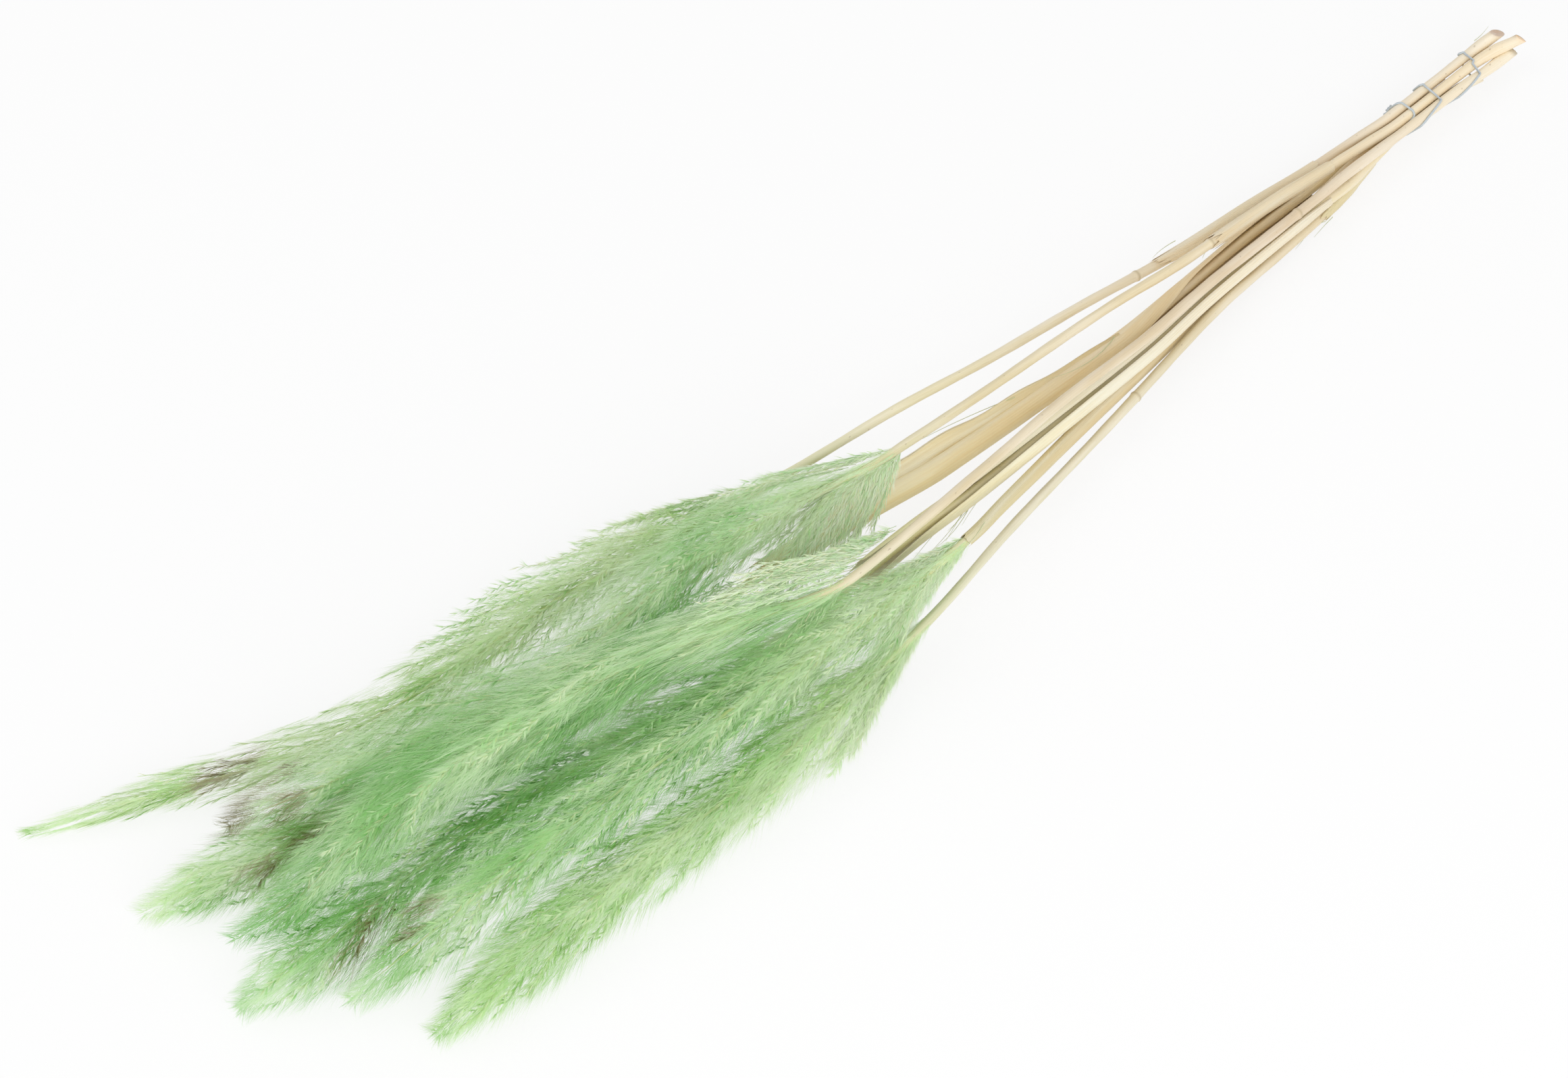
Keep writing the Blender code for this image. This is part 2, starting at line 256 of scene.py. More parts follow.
# %% Write down the stalks
MM = 0.001
STALKS = {
    1: {"route": [(362, -22, 16), (336, -20.6, 13.9), (285, -20.9, 13.4), (262, -19.2, 13),
                  (240, -17.4, 12.2), (200, -14.7, 15), (150, -12, 18), (100, -7, 22), (50, -2, 25),
                  (0, 4.5, 27), (-53, 11.5, 26), (-102, 22, 21), (-164, 33, 18), (-216, 36, 17),
                  (-257, 43, 15), (-283, 53, 13), (-329, 77, 9), (-366, 95, 5)],
        "plume_x": -53, "plume_radius": 19, "thinning": 130},
    2: {"route": [(366, -31, 15.4), (336, -25.9, 13.9), (285, -26, 13.4), (262, -25.2, 15.2),
                  (240, -24.5, 17.5), (200, -23, 22), (150, -23, 28), (100, -21.5, 34),
                  (50, -21.5, 39.5), (0, -21, 44), (-23, -20.5, 46), (-77, -10, 44),
                  (-124, -3, 42), (-178, -6, 40), (-235, 8, 36), (-277, 19, 33.5),
                  (-314, 34.5, 27)],
        "plume_x": -23, "plume_radius": 20, "thinning": 45},
    3: {"route": [(326, -18.7, 9.3), (285, -18.7, 9.1), (262, -20.3, 7.7), (240, -21.8, 6.2),
                  (200, -22, 7.5), (150, -25.5, 12), (100, -28, 15), (50, -27.2, 17.5),
                  (0, -25, 19), (-34, -20, 19), (-64, -16.3, 19), (-100, -13.5, 18),
                  (-135, -12.5, 18), (-195, -3.5, 17), (-252, 8.5, 16.5), (-307, 20.5, 15),
                  (-356, 34, 11)],
        "plume_x": -100, "plume_radius": 22, "thinning": 60},
    4: {"route": [(361, -30.8, 9.9), (340, -31.4, 11.4), (320, -31.1, 13.2), (285, -31, 13.4),
                  (262, -31.8, 16), (240, -32.8, 18.5), (220, -34.3, 20.7), (200, -35.4, 23),
                  (150, -38.3, 28), (100, -43.2, 34), (50, -45.8, 41), (0, -50.8, 47), (-47, -55, 52),
                  (-82, -57, 55), (-126, -44, 56), (-178, -26.5, 54), (-208, -21.5, 52),
                  (-264, -11.5, 46), (-313, -11, 34), (-340, -1.5, 20)],
        "plume_x": -82, "plume_radius": 20, "thinning": 60},
    5: {"route": [(340, -29.4, 6), (320, -28.5, 9), (285, -28.5, 9.1), (262, -31.2, 10.6),
                  (240, -34.3, 12), (200, -35.3, 15.5), (150, -37, 16.5), (100, -42.7, 22),
                  (50, -45.7, 27), (0, -46, 26.5), (-36, -44, 24.5), (-72, -43.5, 21.5),
                  (-109, -44.5, 19), (-158, -39.5, 17.5), (-217, -28.5, 17), (-278, -23, 16.5),
                  (-325, -23.5, 15), (-353, -21, 11)],
        "plume_x": -72, "plume_radius": 23, "thinning": 45},
    6: {"route": [(354, -24.8, 10), (336, -23.8, 9.3), (285, -23.6, 9.1), (262, -25.4, 8.8),
                  (240, -27.3, 8.5), (200, -31, 7), (150, -35.7, 8), (100, -42.9, 13.2),
                  (50, -50.5, 19.5), (0, -59, 27), (-24, -63.3, 31), (-75, -66, 36),
                  (-125, -61.5, 37), (-175, -59, 35), (-237, -54, 31), (-292, -50, 23),
                  (-322, -47, 13)],
        "plume_x": -24, "plume_radius": 21, "thinning": 50},
    7: {"route": [(319, -26, 4.9), (285, -26, 4.9), (262, -29.2, 4.9), (240, -33.2, 4.9),
                  (200, -36.8, 6), (150, -41.8, 11), (100, -49.4, 12), (50, -57, 14),
                  (0, -64.6, 16), (-57, -74.4, 18), (-96, -78, 17.5), (-143, -80, 17),
                  (-192, -78, 16), (-240, -76, 15), (-274, -77, 13), (-307, -77, 9)],
        "plume_x": -57, "plume_radius": 20, "thinning": 50},
}
for data in STALKS.values():
    data["cut_x"], data["tip_x"] = data["route"][0][0], data["route"][-1][0]
    data["plume_length"] = data["plume_x"] - data["tip_x"]
print("stalks:", len(STALKS))


# %% Follow a stalk's line
def slopes(route, axis):
    """Slope of a route at each of its points: between its two spans' slopes, or level at a turn."""
    at = np.array([point[0] for point in route], float)
    height = np.array([point[axis] for point in route], float)
    span = np.diff(height) / np.diff(at)
    before = np.concatenate([span[:1], span])
    after = np.concatenate([span, span[-1:]])
    level = before * after <= 0
    return np.where(level, 0.0, 2 * before * after / np.where(level, 1.0, before + after))


def along(route, x):
    """(y, z) of the smooth line through a route, at every x of an array."""
    x = np.asarray(x, float)
    at = np.array([point[0] for point in route], float)
    k = np.clip(np.searchsorted(-at, -x, side="right") - 1, 0, len(at) - 2)
    span = at[k + 1] - at[k]
    t = np.clip((x - at[k]) / span, 0.0, 1.0)
    places = []
    for axis in (1, 2):
        value = np.array([point[axis] for point in route], float)
        a, b, slope = value[k], value[k + 1], slopes(route, axis)
        leaving, arriving = slope[k] * span, slope[k + 1] * span
        places.append(a + t * leaving + t ** 2 * (3 * (b - a) - 2 * leaving - arriving)
                      + t ** 3 * (2 * (a - b) + leaving + arriving))
    return places


def smooth_step(t):
    """0 below 0, 1 above 1, and smooth between."""
    t = np.clip(t, 0.0, 1.0)
    return t * t * (3 - 2 * t)


print("stalk 4 at x = 100:", [round(float(v[0]), 1) for v in along(STALKS[4]["route"], [100.0])])

# %% Say how thick a stem and its leaf sheath are
NECK_RADIUS = 1.9         # a stem where its plume begins
FREE_RADIUS = 2.3         # just clear of the elastic
TIED_RADIUS = 2.2         # inside the elastic
CUT_RADIUS = 2.7          # past the elastic
FREE_X, HELD_X = 250.0, 280.0   # the elastic's grip begins between these two
TIED_X, CUT_X = 330.0, 350.0    # and ends between these two
SHEATH_GAP = 0.4          # least height of a sheath's outer face above the stem
SHEATH_MOUTH = 25.0       # length over which a sheath opens from its node
SHEATHS = {
    1: {"from": 240, "to": 140, "radius": 2.7, "end": 2.8, "torn": 4.0},
    2: {"from": 240, "to": 161, "radius": 2.7, "end": 2.8, "torn": 3.0},
    3: {"from": 232, "to": -92, "radius": 4.0, "end": 5.3, "torn": 5.5},
    5: {"from": 228, "to": -66, "radius": 3.9, "end": 5.6, "torn": 5.5},
    6: {"from": 226, "to": -26, "radius": 3.3, "end": 2.4, "torn": 0.8},
    7: {"from": 266, "to": 222, "radius": 2.9, "end": 3.0, "torn": 3.0},
}


def stem_radius(stalk, x):
    """Radius of a stem: thick at the cut, held slim by the elastic, thinning to its plume."""
    neck_x = STALKS[stalk]["plume_x"]
    share = np.clip((x - neck_x) / (FREE_X - neck_x), 0.0, 1.0)
    free = NECK_RADIUS + (FREE_RADIUS - NECK_RADIUS) * share
    gripped = (TIED_RADIUS - FREE_RADIUS) * smooth_step((x - FREE_X) / (HELD_X - FREE_X))
    return free + gripped + (CUT_RADIUS - TIED_RADIUS) * smooth_step((x - TIED_X) / (CUT_X - TIED_X))


def sheath_radius(stalk, x):
    """Outer radius of the sheath on a stem, or 0 where there is none."""
    sheath = SHEATHS.get(stalk)
    if sheath is None:
        return np.zeros_like(x)
    share = np.clip((sheath["from"] - x) / (sheath["from"] - sheath["to"]), 0.0, 1.0)
    snug = stem_radius(stalk, x) + SHEATH_GAP
    loose = np.maximum(sheath["radius"] + (sheath["end"] - sheath["radius"]) * share ** 2, snug)
    radius = snug + (loose - snug) * smooth_step((sheath["from"] - x) / SHEATH_MOUTH)
    return np.where((x <= sheath["from"]) & (x >= sheath["to"]), radius, 0.0)


print("sheaths on stalks", list(SHEATHS))

# %% [markdown]
# ## The room each plume has
#
# A plume is a loose round brush, pressed against its neighbours and flat underneath where it
# lies. Before any fibre is placed, a table says how far the plume reaches from its own line at
# every step along it and in every direction round it, and where a neighbour is what stops it.

# %% Measure how far a plume reaches
STEP = 2.0                # millimetres between the rows of a reach table
DIRECTIONS = 64
START_RADIUS = 3.2        # a plume opens from little more than its stem
TIP_RADIUS = 3.0
OPENING_LENGTH = 60.0     # from a plume's start to its full radius
FLATTENED = 0.08          # a lying plume is lower than it is wide by this share
PLUME_GAP = 0.6           # from a plume to the wall between it and the next one
STEM_GAP = 1.0            # from a plume to a neighbour's stem or sheath
PAST_TIP = 10.0           # how far past its tip a neighbour stops pressing
LEAST_REACH = 0.6
UNREACHED = 99.0          # stands for a wall that isn't there
GRAZING = 0.05            # a wall that faces away more than this stops nothing
SOFT_WALL = 3.0           # loss of reach at which a plume counts as fully walled in


def plume_radius(stalk, x):
    """Full radius of a plume at x, before its neighbours press on it."""
    data = STALKS[stalk]
    opened = smooth_step((data["plume_x"] - x) / OPENING_LENGTH)
    thinned = np.sin(np.pi / 2 * np.clip((x - data["tip_x"]) / data["thinning"], 0.0, 1.0))
    full = START_RADIUS + (data["plume_radius"] - START_RADIUS) * opened
    return TIP_RADIUS + (full - TIP_RADIUS) * thinned


def reach_table(stalk):
    """Reach and how walled-in it is, by row along the plume and direction round it."""
    data = STALKS[stalk]
    rows = np.arange(data["plume_x"], data["tip_x"] - STEP, -STEP)
    y, z = along(data["route"], rows)
    radius = plume_radius(stalk, rows)
    angle = 2 * np.pi * np.arange(DIRECTIONS) / DIRECTIONS
    out_y, out_z = np.cos(angle), np.sin(angle)
    free = radius[:, None] * (1.0 - FLATTENED * out_z ** 2)
    walls = [(np.zeros_like(rows), -np.ones_like(rows), z)]
    for other, there in STALKS.items():
        if other == stalk:
            continue
        other_y, other_z = along(there["route"], rows)
        distance = np.hypot(other_y - y, other_z - z)
        share = radius / (radius + plume_radius(other, rows))
        beside_plume = distance * share - PLUME_GAP
        stem = np.maximum(stem_radius(other, rows), sheath_radius(other, rows))
        beside_stem = distance - stem - STEM_GAP
        depth = np.where(rows <= there["plume_x"], beside_plume, beside_stem)
        depth = np.where(rows < there["tip_x"] - PAST_TIP, UNREACHED, depth)
        walls.append(((other_y - y) / distance, (other_z - z) / distance, depth))
    reach = free.copy()
    for wall_y, wall_z, depth in walls:
        facing = wall_y[:, None] * out_y + wall_z[:, None] * out_z
        stop = np.where(facing > GRAZING, depth[:, None] / np.maximum(facing, GRAZING), UNREACHED)
        reach = np.minimum(reach, np.maximum(stop, LEAST_REACH))
    walled = smooth_step((free - reach) / SOFT_WALL)
    return {"rows": rows, "reach": reach, "walled": walled}


ROOM = {stalk: reach_table(stalk) for stalk in STALKS}
for stalk, table in ROOM.items():
    print("plume", stalk, "reach", round(float(table["reach"].min()), 1), "to",
          round(float(table["reach"].max()), 1), "mm")


# %% Look the reach up
WALL_SHARE = 0.97         # share of the reach that roots use at a wall
HAIR_FLOOR = 0.4          # least heights in millimetres
ROOT_FLOOR = 0.5
BRANCH_FLOOR = 0.8


def look_up(stalk, name, x, angle):
    """Value of a reach table between its rows and directions."""
    table = ROOM[stalk]
    row = np.clip((table["rows"][0] - x) / STEP, 0, len(table["rows"]) - 1.001)
    turn = (angle / (2 * np.pi) % 1.0) * DIRECTIONS
    i, j = row.astype(int), turn.astype(int)
    p, q = row - i, turn - j
    i2, j, j2 = i + 1, j % DIRECTIONS, (j + 1) % DIRECTIONS
    grid = table[name]
    return ((1 - p) * ((1 - q) * grid[i, j] + q * grid[i, j2])
            + p * ((1 - q) * grid[i2, j] + q * grid[i2, j2]))


def in_plume(stalk, x, angle, share):
    """Point at a share of the plume's reach, as rows of x, y, z."""
    y, z = along(STALKS[stalk]["route"], x)
    radius = share * look_up(stalk, "reach", x, angle)
    return np.stack([x, y + radius * np.cos(angle), z + radius * np.sin(angle)], -1)


def room_share(stalk, x, angle, free_share):
    """Share of the reach that roots may use: all of it at a wall, less where the plume is free."""
    walled = look_up(stalk, "walled", x, angle)
    return free_share + (WALL_SHARE - free_share) * walled


def held_in(stalk, points, past_free, past_wall):
    """Points moved straight back to the plume's reach, plus what may stand past it."""
    x = points[:, 0]
    y, z = along(STALKS[stalk]["route"], x)
    dy, dz = points[:, 1] - y, points[:, 2] - z
    angle, distance = np.arctan2(dz, dy), np.hypot(dy, dz)
    walled = look_up(stalk, "walled", x, angle)
    most = look_up(stalk, "reach", x, angle) + past_free * (1 - walled) + past_wall * walled
    back = np.minimum(most / np.maximum(distance, 1e-6), 1.0)
    return np.stack([x, y + dy * back, np.maximum(z + dz * back, HAIR_FLOOR)], -1)


print("plume 4, top, half way out:", in_plume(4, np.array([-150.0]), np.array([1.57]), 0.5).round(1))

# %% [markdown]
# ## How a plume is made
#
# A plume is a thin stem with more than a hundred side branches. Each is like a small feather: a
# fine axis with a pointed spikelet every millimetre or two, left and right in turn, and a tuft of
# silk that spreads from each spikelet. The silk does most of the work: it carries the dye, lets
# light through and hides the branches.
#
# Hair curves would be quicker, but only a mesh can be carried to other tools, so each fibre is a
# long thin triangle and each spikelet is a pair of them.

# %% Say where a plume was stroked smooth
COMB_FADE = 30.0          # length over which the stroking dies away
COMBED = {1: (-205, -400), 2: (-10, -75), 4: (-60, -190), 7: (-40, -80), 6: (-10, -55)}


def combed(stalk, x):
    """1 where a plume lies smooth and closed, 0 where its branches stand apart."""
    start, end = COMBED.get(stalk, (500, 499))
    return smooth_step((start - x) / COMB_FADE) * smooth_step((x - end) / COMB_FADE)


# %% Lay out the branches of a plume
BRANCH_POINTS = 10
GOLDEN_ANGLE = 2.39996    # radians from one branch to the next, so that none line up


def branches(stalk, style, random):
    """Routes of a plume's branches as an array of branch, point, xyz, and their lengths."""
    data = STALKS[stalk]
    count = style["branches"]
    order = (np.arange(count) + random.uniform(0, 0.8, count)) / count
    start = data["plume_x"] - data["plume_length"] * 0.9 * order ** style["crowding"]
    long = np.interp(order, [0, 0.25, 0.7, 1.0], style["lengths"]) * random.uniform(0.75, 1.15, count)
    long = np.minimum(long, start - data["tip_x"] + 4.0)
    angle = GOLDEN_ANGLE * np.arange(count) + random.uniform(-0.5, 0.5, count)
    outer = random.uniform(0.05, 1.0, count) ** style["outward"]
    turn = random.normal(0, 0.35, count) + style["twist"]
    t = np.linspace(0, 1, BRANCH_POINTS)[None, :]
    x = start[:, None] - long[:, None] * t * (1 - 0.1 * outer[:, None])
    rise = random.uniform(0.9, style["rise"], (count, 1))
    swing = angle[:, None] + turn[:, None] * t
    droop = style["droop"] * t ** 2
    swing = swing + droop * np.sin(style["droop_to"] - swing)
    swing = swing + random.normal(0, 0.12, (count, 1)) * np.sin(np.pi * t)
    share = 0.03 + outer[:, None] * room_share(stalk, x, swing, style["fill"]) * (1 - (1 - t) ** rise)
    share = share * (1 - style["closed"] * combed(stalk, x))
    routes = in_plume(stalk, x, swing, share)
    routes[..., 2] = np.maximum(routes[..., 2], BRANCH_FLOOR)
    return routes, long


# %% Hang the loose branches
# Each fan is a few guide branches: where they leave the stem, where they bend and where they end.
FANS = {
    1: [(17, [((-100, 21, 26), (-116, 31, 30), (-132, 44, 25)),
              ((-120, 26, 25), (-136, 36, 29), (-153, 51, 22)),
              ((-147, 30, 23), (-163, 40, 26), (-183, 52, 20)),
              ((-171, 34, 21), (-187, 43, 24), (-206, 52, 17)),
              ((-187, 36, 19), (-202, 44, 22), (-221, 48, 14))]),
        (5, [((-62, 13, 26), (-88, 26, 31), (-112, 36, 27)),
             ((-76, 16, 26), (-100, 30, 30), (-128, 43, 24))])],
    2: [(52, [((-19, -20.5, 45), (-28, -25, 33), (-41, -27, 21)),
              ((-30, -20, 45), (-44, -25, 33), (-62, -28, 18)),
              ((-42, -19, 45), (-62, -25, 34), (-86, -29, 22)),
              ((-56, -15, 44), (-80, -22, 36), (-112, -28, 26))]),
        (10, [((-22, -19, 46), (-44, -10, 50), (-70, 2, 50)),
              ((-44, -13, 46), (-70, -3, 52), (-100, 8, 50))])],
    3: [(8, [((-98, -12, 22), (-118, -6, 25), (-140, -3, 27)),
             ((-100, -16, 16), (-120, -20, 12), (-142, -22, 10))])],
    4: [(22, [((-50, -50, 51), (-74, -46, 57), (-104, -36, 62)),
              ((-66, -52, 55), (-92, -46, 62), (-124, -34, 66)),
              ((-84, -56, 56), (-110, -50, 63), (-146, -36, 66))]),
        (14, [((-84, -57, 53), (-104, -60, 44), (-126, -60, 36)),
              ((-98, -55, 54), (-124, -56, 46), (-152, -54, 38))])],
    5: [(14, [((-70, -45, 19), (-88, -54, 14), (-106, -60, 9)),
              ((-84, -45, 19), (-106, -54, 13), (-130, -60, 8))])],
    6: [(36, [((-22, -63.5, 30), (-38, -66, 23), (-58, -66, 14)),
              ((-32, -64.5, 32), (-52, -68, 24), (-78, -71, 12)),
              ((-44, -65, 33), (-68, -70, 26), (-98, -76, 16))]),
        (10, [((-24, -62, 32), (-46, -60, 38), (-72, -57, 41)),
              ((-40, -64, 34), (-66, -62, 42), (-96, -58, 46))])],
    7: [(26, [((-56, -74.5, 17), (-74, -79, 14), (-95, -83, 8)),
              ((-64, -76, 18), (-88, -84, 13), (-114, -92, 7)),
              ((-76, -77, 18), (-100, -86, 16), (-130, -95, 12))])],
}


def loose_branches(stalk, random):
    """Routes of the branches that hang in fans outside the plume's round brush."""
    routes = []
    for count, guides in FANS[stalk]:
        guides = np.array(guides, float)
        f = np.linspace(0, len(guides) - 1.001, count)
        w = (f - f.astype(int))[:, None, None]
        three = guides[f.astype(int)] * (1 - w) + guides[f.astype(int) + 1] * w
        three = three + random.normal(0, 1, (count, 3, 3)) * np.array([[0.3], [0.8], [1.5]])
        t = np.linspace(0, 1, BRANCH_POINTS)[None, :, None]
        bent = three[:, :1] * (1 - t) ** 2 + three[:, 1:2] * 2 * t * (1 - t) + three[:, 2:] * t ** 2
        routes.append(bent)
    routes = np.concatenate(routes)
    routes[..., 2] = np.maximum(routes[..., 2], BRANCH_FLOOR)
    return routes, np.linalg.norm(routes[:, -1] - routes[:, 0], axis=-1) + 3.0


# %% Points and directions anywhere along the branches
def unit(v):
    """Vectors of length 1."""
    return v / np.maximum(np.linalg.norm(v, axis=-1, keepdims=True), 1e-9)


def sample(routes, which, t):
    """Place and direction on branch `which` at share t of its length."""
    f = np.clip(t, 0, 0.9999) * (BRANCH_POINTS - 1)
    k = f.astype(int)
    w = (f - k)[:, None]
    ahead = np.minimum(k + 2, BRANCH_POINTS - 1)
    place = routes[which, k] * (1 - w) + routes[which, k + 1] * w
    now = unit(routes[which, k + 1] - routes[which, k])
    soon = unit(routes[which, ahead] - routes[which, np.minimum(k + 1, BRANCH_POINTS - 2)])
    return place, unit(now * (1 - 0.5 * w) + soon * 0.5 * w)


def frames(stalk, place, along_it, hanging=False):
    """Directions outwards and sideways, both square to the branch.

    Outwards is away from the plume's line, or away from the bunch and up where a fan hangs.
    """
    y, z = along(STALKS[stalk]["route"], place[:, 0])
    out = np.stack([np.zeros(len(place)), place[:, 1] - y, place[:, 2] - z], -1)
    out = out + np.array([0.0, 0.0, 0.6])
    away = np.stack([0 * y, np.where(place[:, 1] < -15, -0.65, 0.1), 0 * y + 0.75], -1)
    out = np.where(np.broadcast_to(hanging, len(place))[:, None], away, out)
    out = unit(out - along_it * np.sum(out * along_it, -1, keepdims=True))
    return out, unit(np.cross(along_it, out))


# %% Turn many small triangles into one mesh
def mesh_from(name, corners, faces, coordinates, normals=None):
    """Mesh object from corner points in millimetres, triangles and one map place per corner."""
    used, faces = np.unique(faces, return_inverse=True)
    faces = faces.reshape(-1, 3)
    corners, coordinates = corners[used], coordinates[used]
    mesh = bpy.data.meshes.new(name)
    mesh.vertices.add(len(corners))
    mesh.vertices.foreach_set("co", (corners * MM).astype(np.float32).ravel())
    mesh.loops.add(faces.size)
    mesh.loops.foreach_set("vertex_index", faces.astype(np.int32).ravel())
    mesh.polygons.add(len(faces))
    mesh.polygons.foreach_set("loop_start", (np.arange(len(faces)) * 3).astype(np.int32))
    mesh.polygons.foreach_set("use_smooth", np.ones(len(faces), bool))
    layer = mesh.uv_layers.new(name="OFBake")
    layer.data.foreach_set("uv", coordinates[faces.ravel()].astype(np.float32).ravel())
    mesh.update(calc_edges=True)
    if normals is not None:
        mesh.normals_split_custom_set_from_vertices(normals[used])
    made = bpy.data.objects.new(name, mesh)
    bpy.context.scene.collection.objects.link(made)
    return made


def finish_piece(made, material, slot, *nodes):
    """Give a piece its finish and its place on the frame, and hide the solids it stands for."""
    made.data.materials.append(material)
    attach(made, "root")
    if nodes:
        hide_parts(*nodes)
    return made


print("helpers ready")

# %% [markdown]
# ## The dye and the fibres' finish
#
# The dye took unevenly. Most silk is mint, some is nearly white, some kept a yellow-green, and a
# few clusters near the tips stayed grey-brown. Inside the plume, low down and in the creases between
# plumes the green is painted deeper, as painted shade, and on top it is painted paler, as painted
# light. Each fibre gets its tone and its depth of dye and painted shade through its place on a map:
# the tones are bands across the map, from a fibre's root to its tip, and that depth grows along it.
# A map can be baked, which a colour per fibre can't.

# %% Name the tones
TONES = {
    "white": (0.89, 0.975, 0.78),
    "mint": (0.72, 0.95, 0.63),
    "green": (0.62, 0.92, 0.48),
    "lime": (0.77, 0.94, 0.48),
    "fan": (0.78, 0.97, 0.68),
    "grey": (0.30, 0.23, 0.12),
}
TONE_NAMES = list(TONES)


def map_places(tone, dye_and_shade, root_to_tip):
    """Place on the map of a fibre's corner: depth of dyeing and painted shade, then tone band and root
    to tip.
    """
    v = (tone + 0.08 + 0.84 * root_to_tip) / len(TONES)
    return np.stack([np.clip(dye_and_shade, 0.004, 0.996), v], -1)


# %% Make the silk's finish
def silk_finish(name, seed, through):
    """Thin dyed hair that colours the light it lets through: most of it in the feathers, less in
    the loose fans and little in the grey spots."""
    finish = Finish(name)
    place = finish.map_place()
    split = finish.node("SeparateXYZ", None, {0: place})
    across = split.out("Y")
    tone = finish.bands(TONES.values(), across)
    uneven = finish.node("TexNoise", {"noise_dimensions": "2D"},
                         {"Vector": place, "Scale": 22.0 + seed, "Detail": 2.0})
    dye_and_shade = finish.maths("ADD", split, (uneven - 0.5) * 0.3, clamp=True)
    once = finish.mix(finish.maths("MULTIPLY", dye_and_shade, 2.0, clamp=True), (0.94, 0.985, 0.85), tone)
    # Where the dye runs deep, and where painted shade deepens it, the colour is multiplied darker.
    deep_dye_and_shade = finish.mix(finish.rise(dye_and_shade, 0.5, 2.0), once, (0.47, 0.67, 0.37), "MULTIPLY")
    # Each hair pales towards its tip: partly tips that took less dye, partly painted shade at the roots
    # deep in the plume.
    to_tip = finish.maths("FRACT", across * len(TONES))
    unspoilt = finish.maths("LESS_THAN", across, TONE_NAMES.index("grey") / len(TONES))
    colour = finish.mix(to_tip * unspoilt * 0.5, deep_dye_and_shade, (0.95, 0.99, 0.86))
    front = finish.node("BsdfPrincipled", None, {"Base Color": colour, "Roughness": 0.5,
                                                 "Specular IOR Level": 0.25})
    pale = finish.node("BsdfTranslucent", None, {"Color": (0.94, 1.0, 0.85, 1.0)})
    dyed = finish.node("BsdfTranslucent", None, {"Color": (*through, 1.0)})
    behind = finish.blend_shaders(dye_and_shade, pale, dyed)
    feather = finish.maths("LESS_THAN", across, TONE_NAMES.index("fan") / len(TONES))
    let_through = feather * 0.34 + unspoilt * 0.18 + 0.12
    return finish.done(finish.blend_shaders(let_through, front, behind))


SPIKELET_TONES = {
    "olive": (0.56, 0.62, 0.32),
    "straw": (0.85, 0.84, 0.62),
    "grey": (0.30, 0.27, 0.19),
    "green": (0.66, 0.86, 0.54),
}


def branch_finish(name):
    """Dry, slightly glossy spikelets and branch axes."""
    finish = Finish(name)
    place = finish.map_place()
    across = finish.node("SeparateXYZ", None, {0: place}).out("Y")
    tone = finish.bands(SPIKELET_TONES.values(), across)
    speckle = finish.node("TexNoise", {"noise_dimensions": "2D"},
                          {"Vector": place, "Scale": 60.0, "Detail": 1.0})
    colour = finish.mix(speckle * 0.5, tone, (0.80, 0.86, 0.60))
    shader = finish.node("BsdfPrincipled", None, {"Base Color": colour, "Roughness": 0.45})
    behind = finish.node("BsdfTranslucent", None, {"Color": (0.78, 0.88, 0.56, 1.0)})
    return finish.done(finish.blend_shaders(0.35, shader, behind))


print("tones:", ", ".join(TONES))

# %% [markdown]
# ## Silk
#
# The silk of one tuft leaves its spikelet in a narrow fan that leans towards the branch's tip.
# Neighbouring tufts point left and right in turn, which gives every branch its feather look.
# Hairs that would poke into a neighbouring plume are pressed back to the wall between the two;
# where nothing is beside them they stand free.

# %% Place the tufts
TUFT_STEP = 1.9           # millimetres between two tufts of a branch


def tufts(long, random):
    """Every tuft: its branch, its share along it and its side."""
    each = np.maximum((long / TUFT_STEP).astype(int), 3)
    which = np.repeat(np.arange(len(long)), each)
    number = np.concatenate([np.arange(n) for n in each])
    t = (number + random.uniform(0.1, 0.9, len(number))) / each[which]
    side = np.where(number % 2 == 0, 1.0, -1.0)
    return which, 0.04 + 0.96 * t, side


# %% Let the dye drift over the bunch
def drift(points, seed):
    """A smooth wandering value of about -1 to 1, with long waves along the plume."""
    random = np.random.default_rng(seed)
    total = np.zeros(len(points))
    for _ in range(7):
        wave = random.uniform(0.6, 1.4) * np.array([0.055, 0.16, 0.16]) * random.choice([-1, 1], 3)
        total += np.sin(points @ wave + random.uniform(0, 6.28))
    return np.clip(total / 3.2, -1.3, 1.3)


# Where the dye ran thin (below 0) or gathered (above 0): place, reach and how much.
WASHED = [((-42, -25, 34), 45, -0.50), ((-70, -12, 46), 35, -0.25), ((-60, -66, 28), 50, -0.45),
          ((-110, -88, 14), 50, -0.50), ((-110, -58, 20), 34, -0.30), ((-90, 20, 26), 40, -0.25),
          ((-290, 60, 16), 45, -0.35), ((-340, 84, 10), 40, -0.25), ((-250, 14, 42), 40, -0.35),
          ((-140, -36, 66), 30, -0.40), ((-180, -25, 62), 26, -0.25), ((-150, -58, 30), 26, 0.40),
          ((-190, -45, 24), 34, 0.40), ((-125, -10, 30), 28, 0.35), ((-230, -35, 22), 34, 0.40),
          ((-300, -22, 24), 32, 0.50), ((-300, 5, 22), 24, 0.30), ((-70, -46, 56), 18, 0.60),
          ((-95, -38, 56), 18, 0.35)]


def blots(points, places):
    """Sum of soft round blots."""
    total = np.zeros(len(points))
    for place, reach, amount in places:
        apart = np.linalg.norm(points - place, axis=1) / reach
        total += amount * np.exp(-2.0 * apart ** 2)
    return total


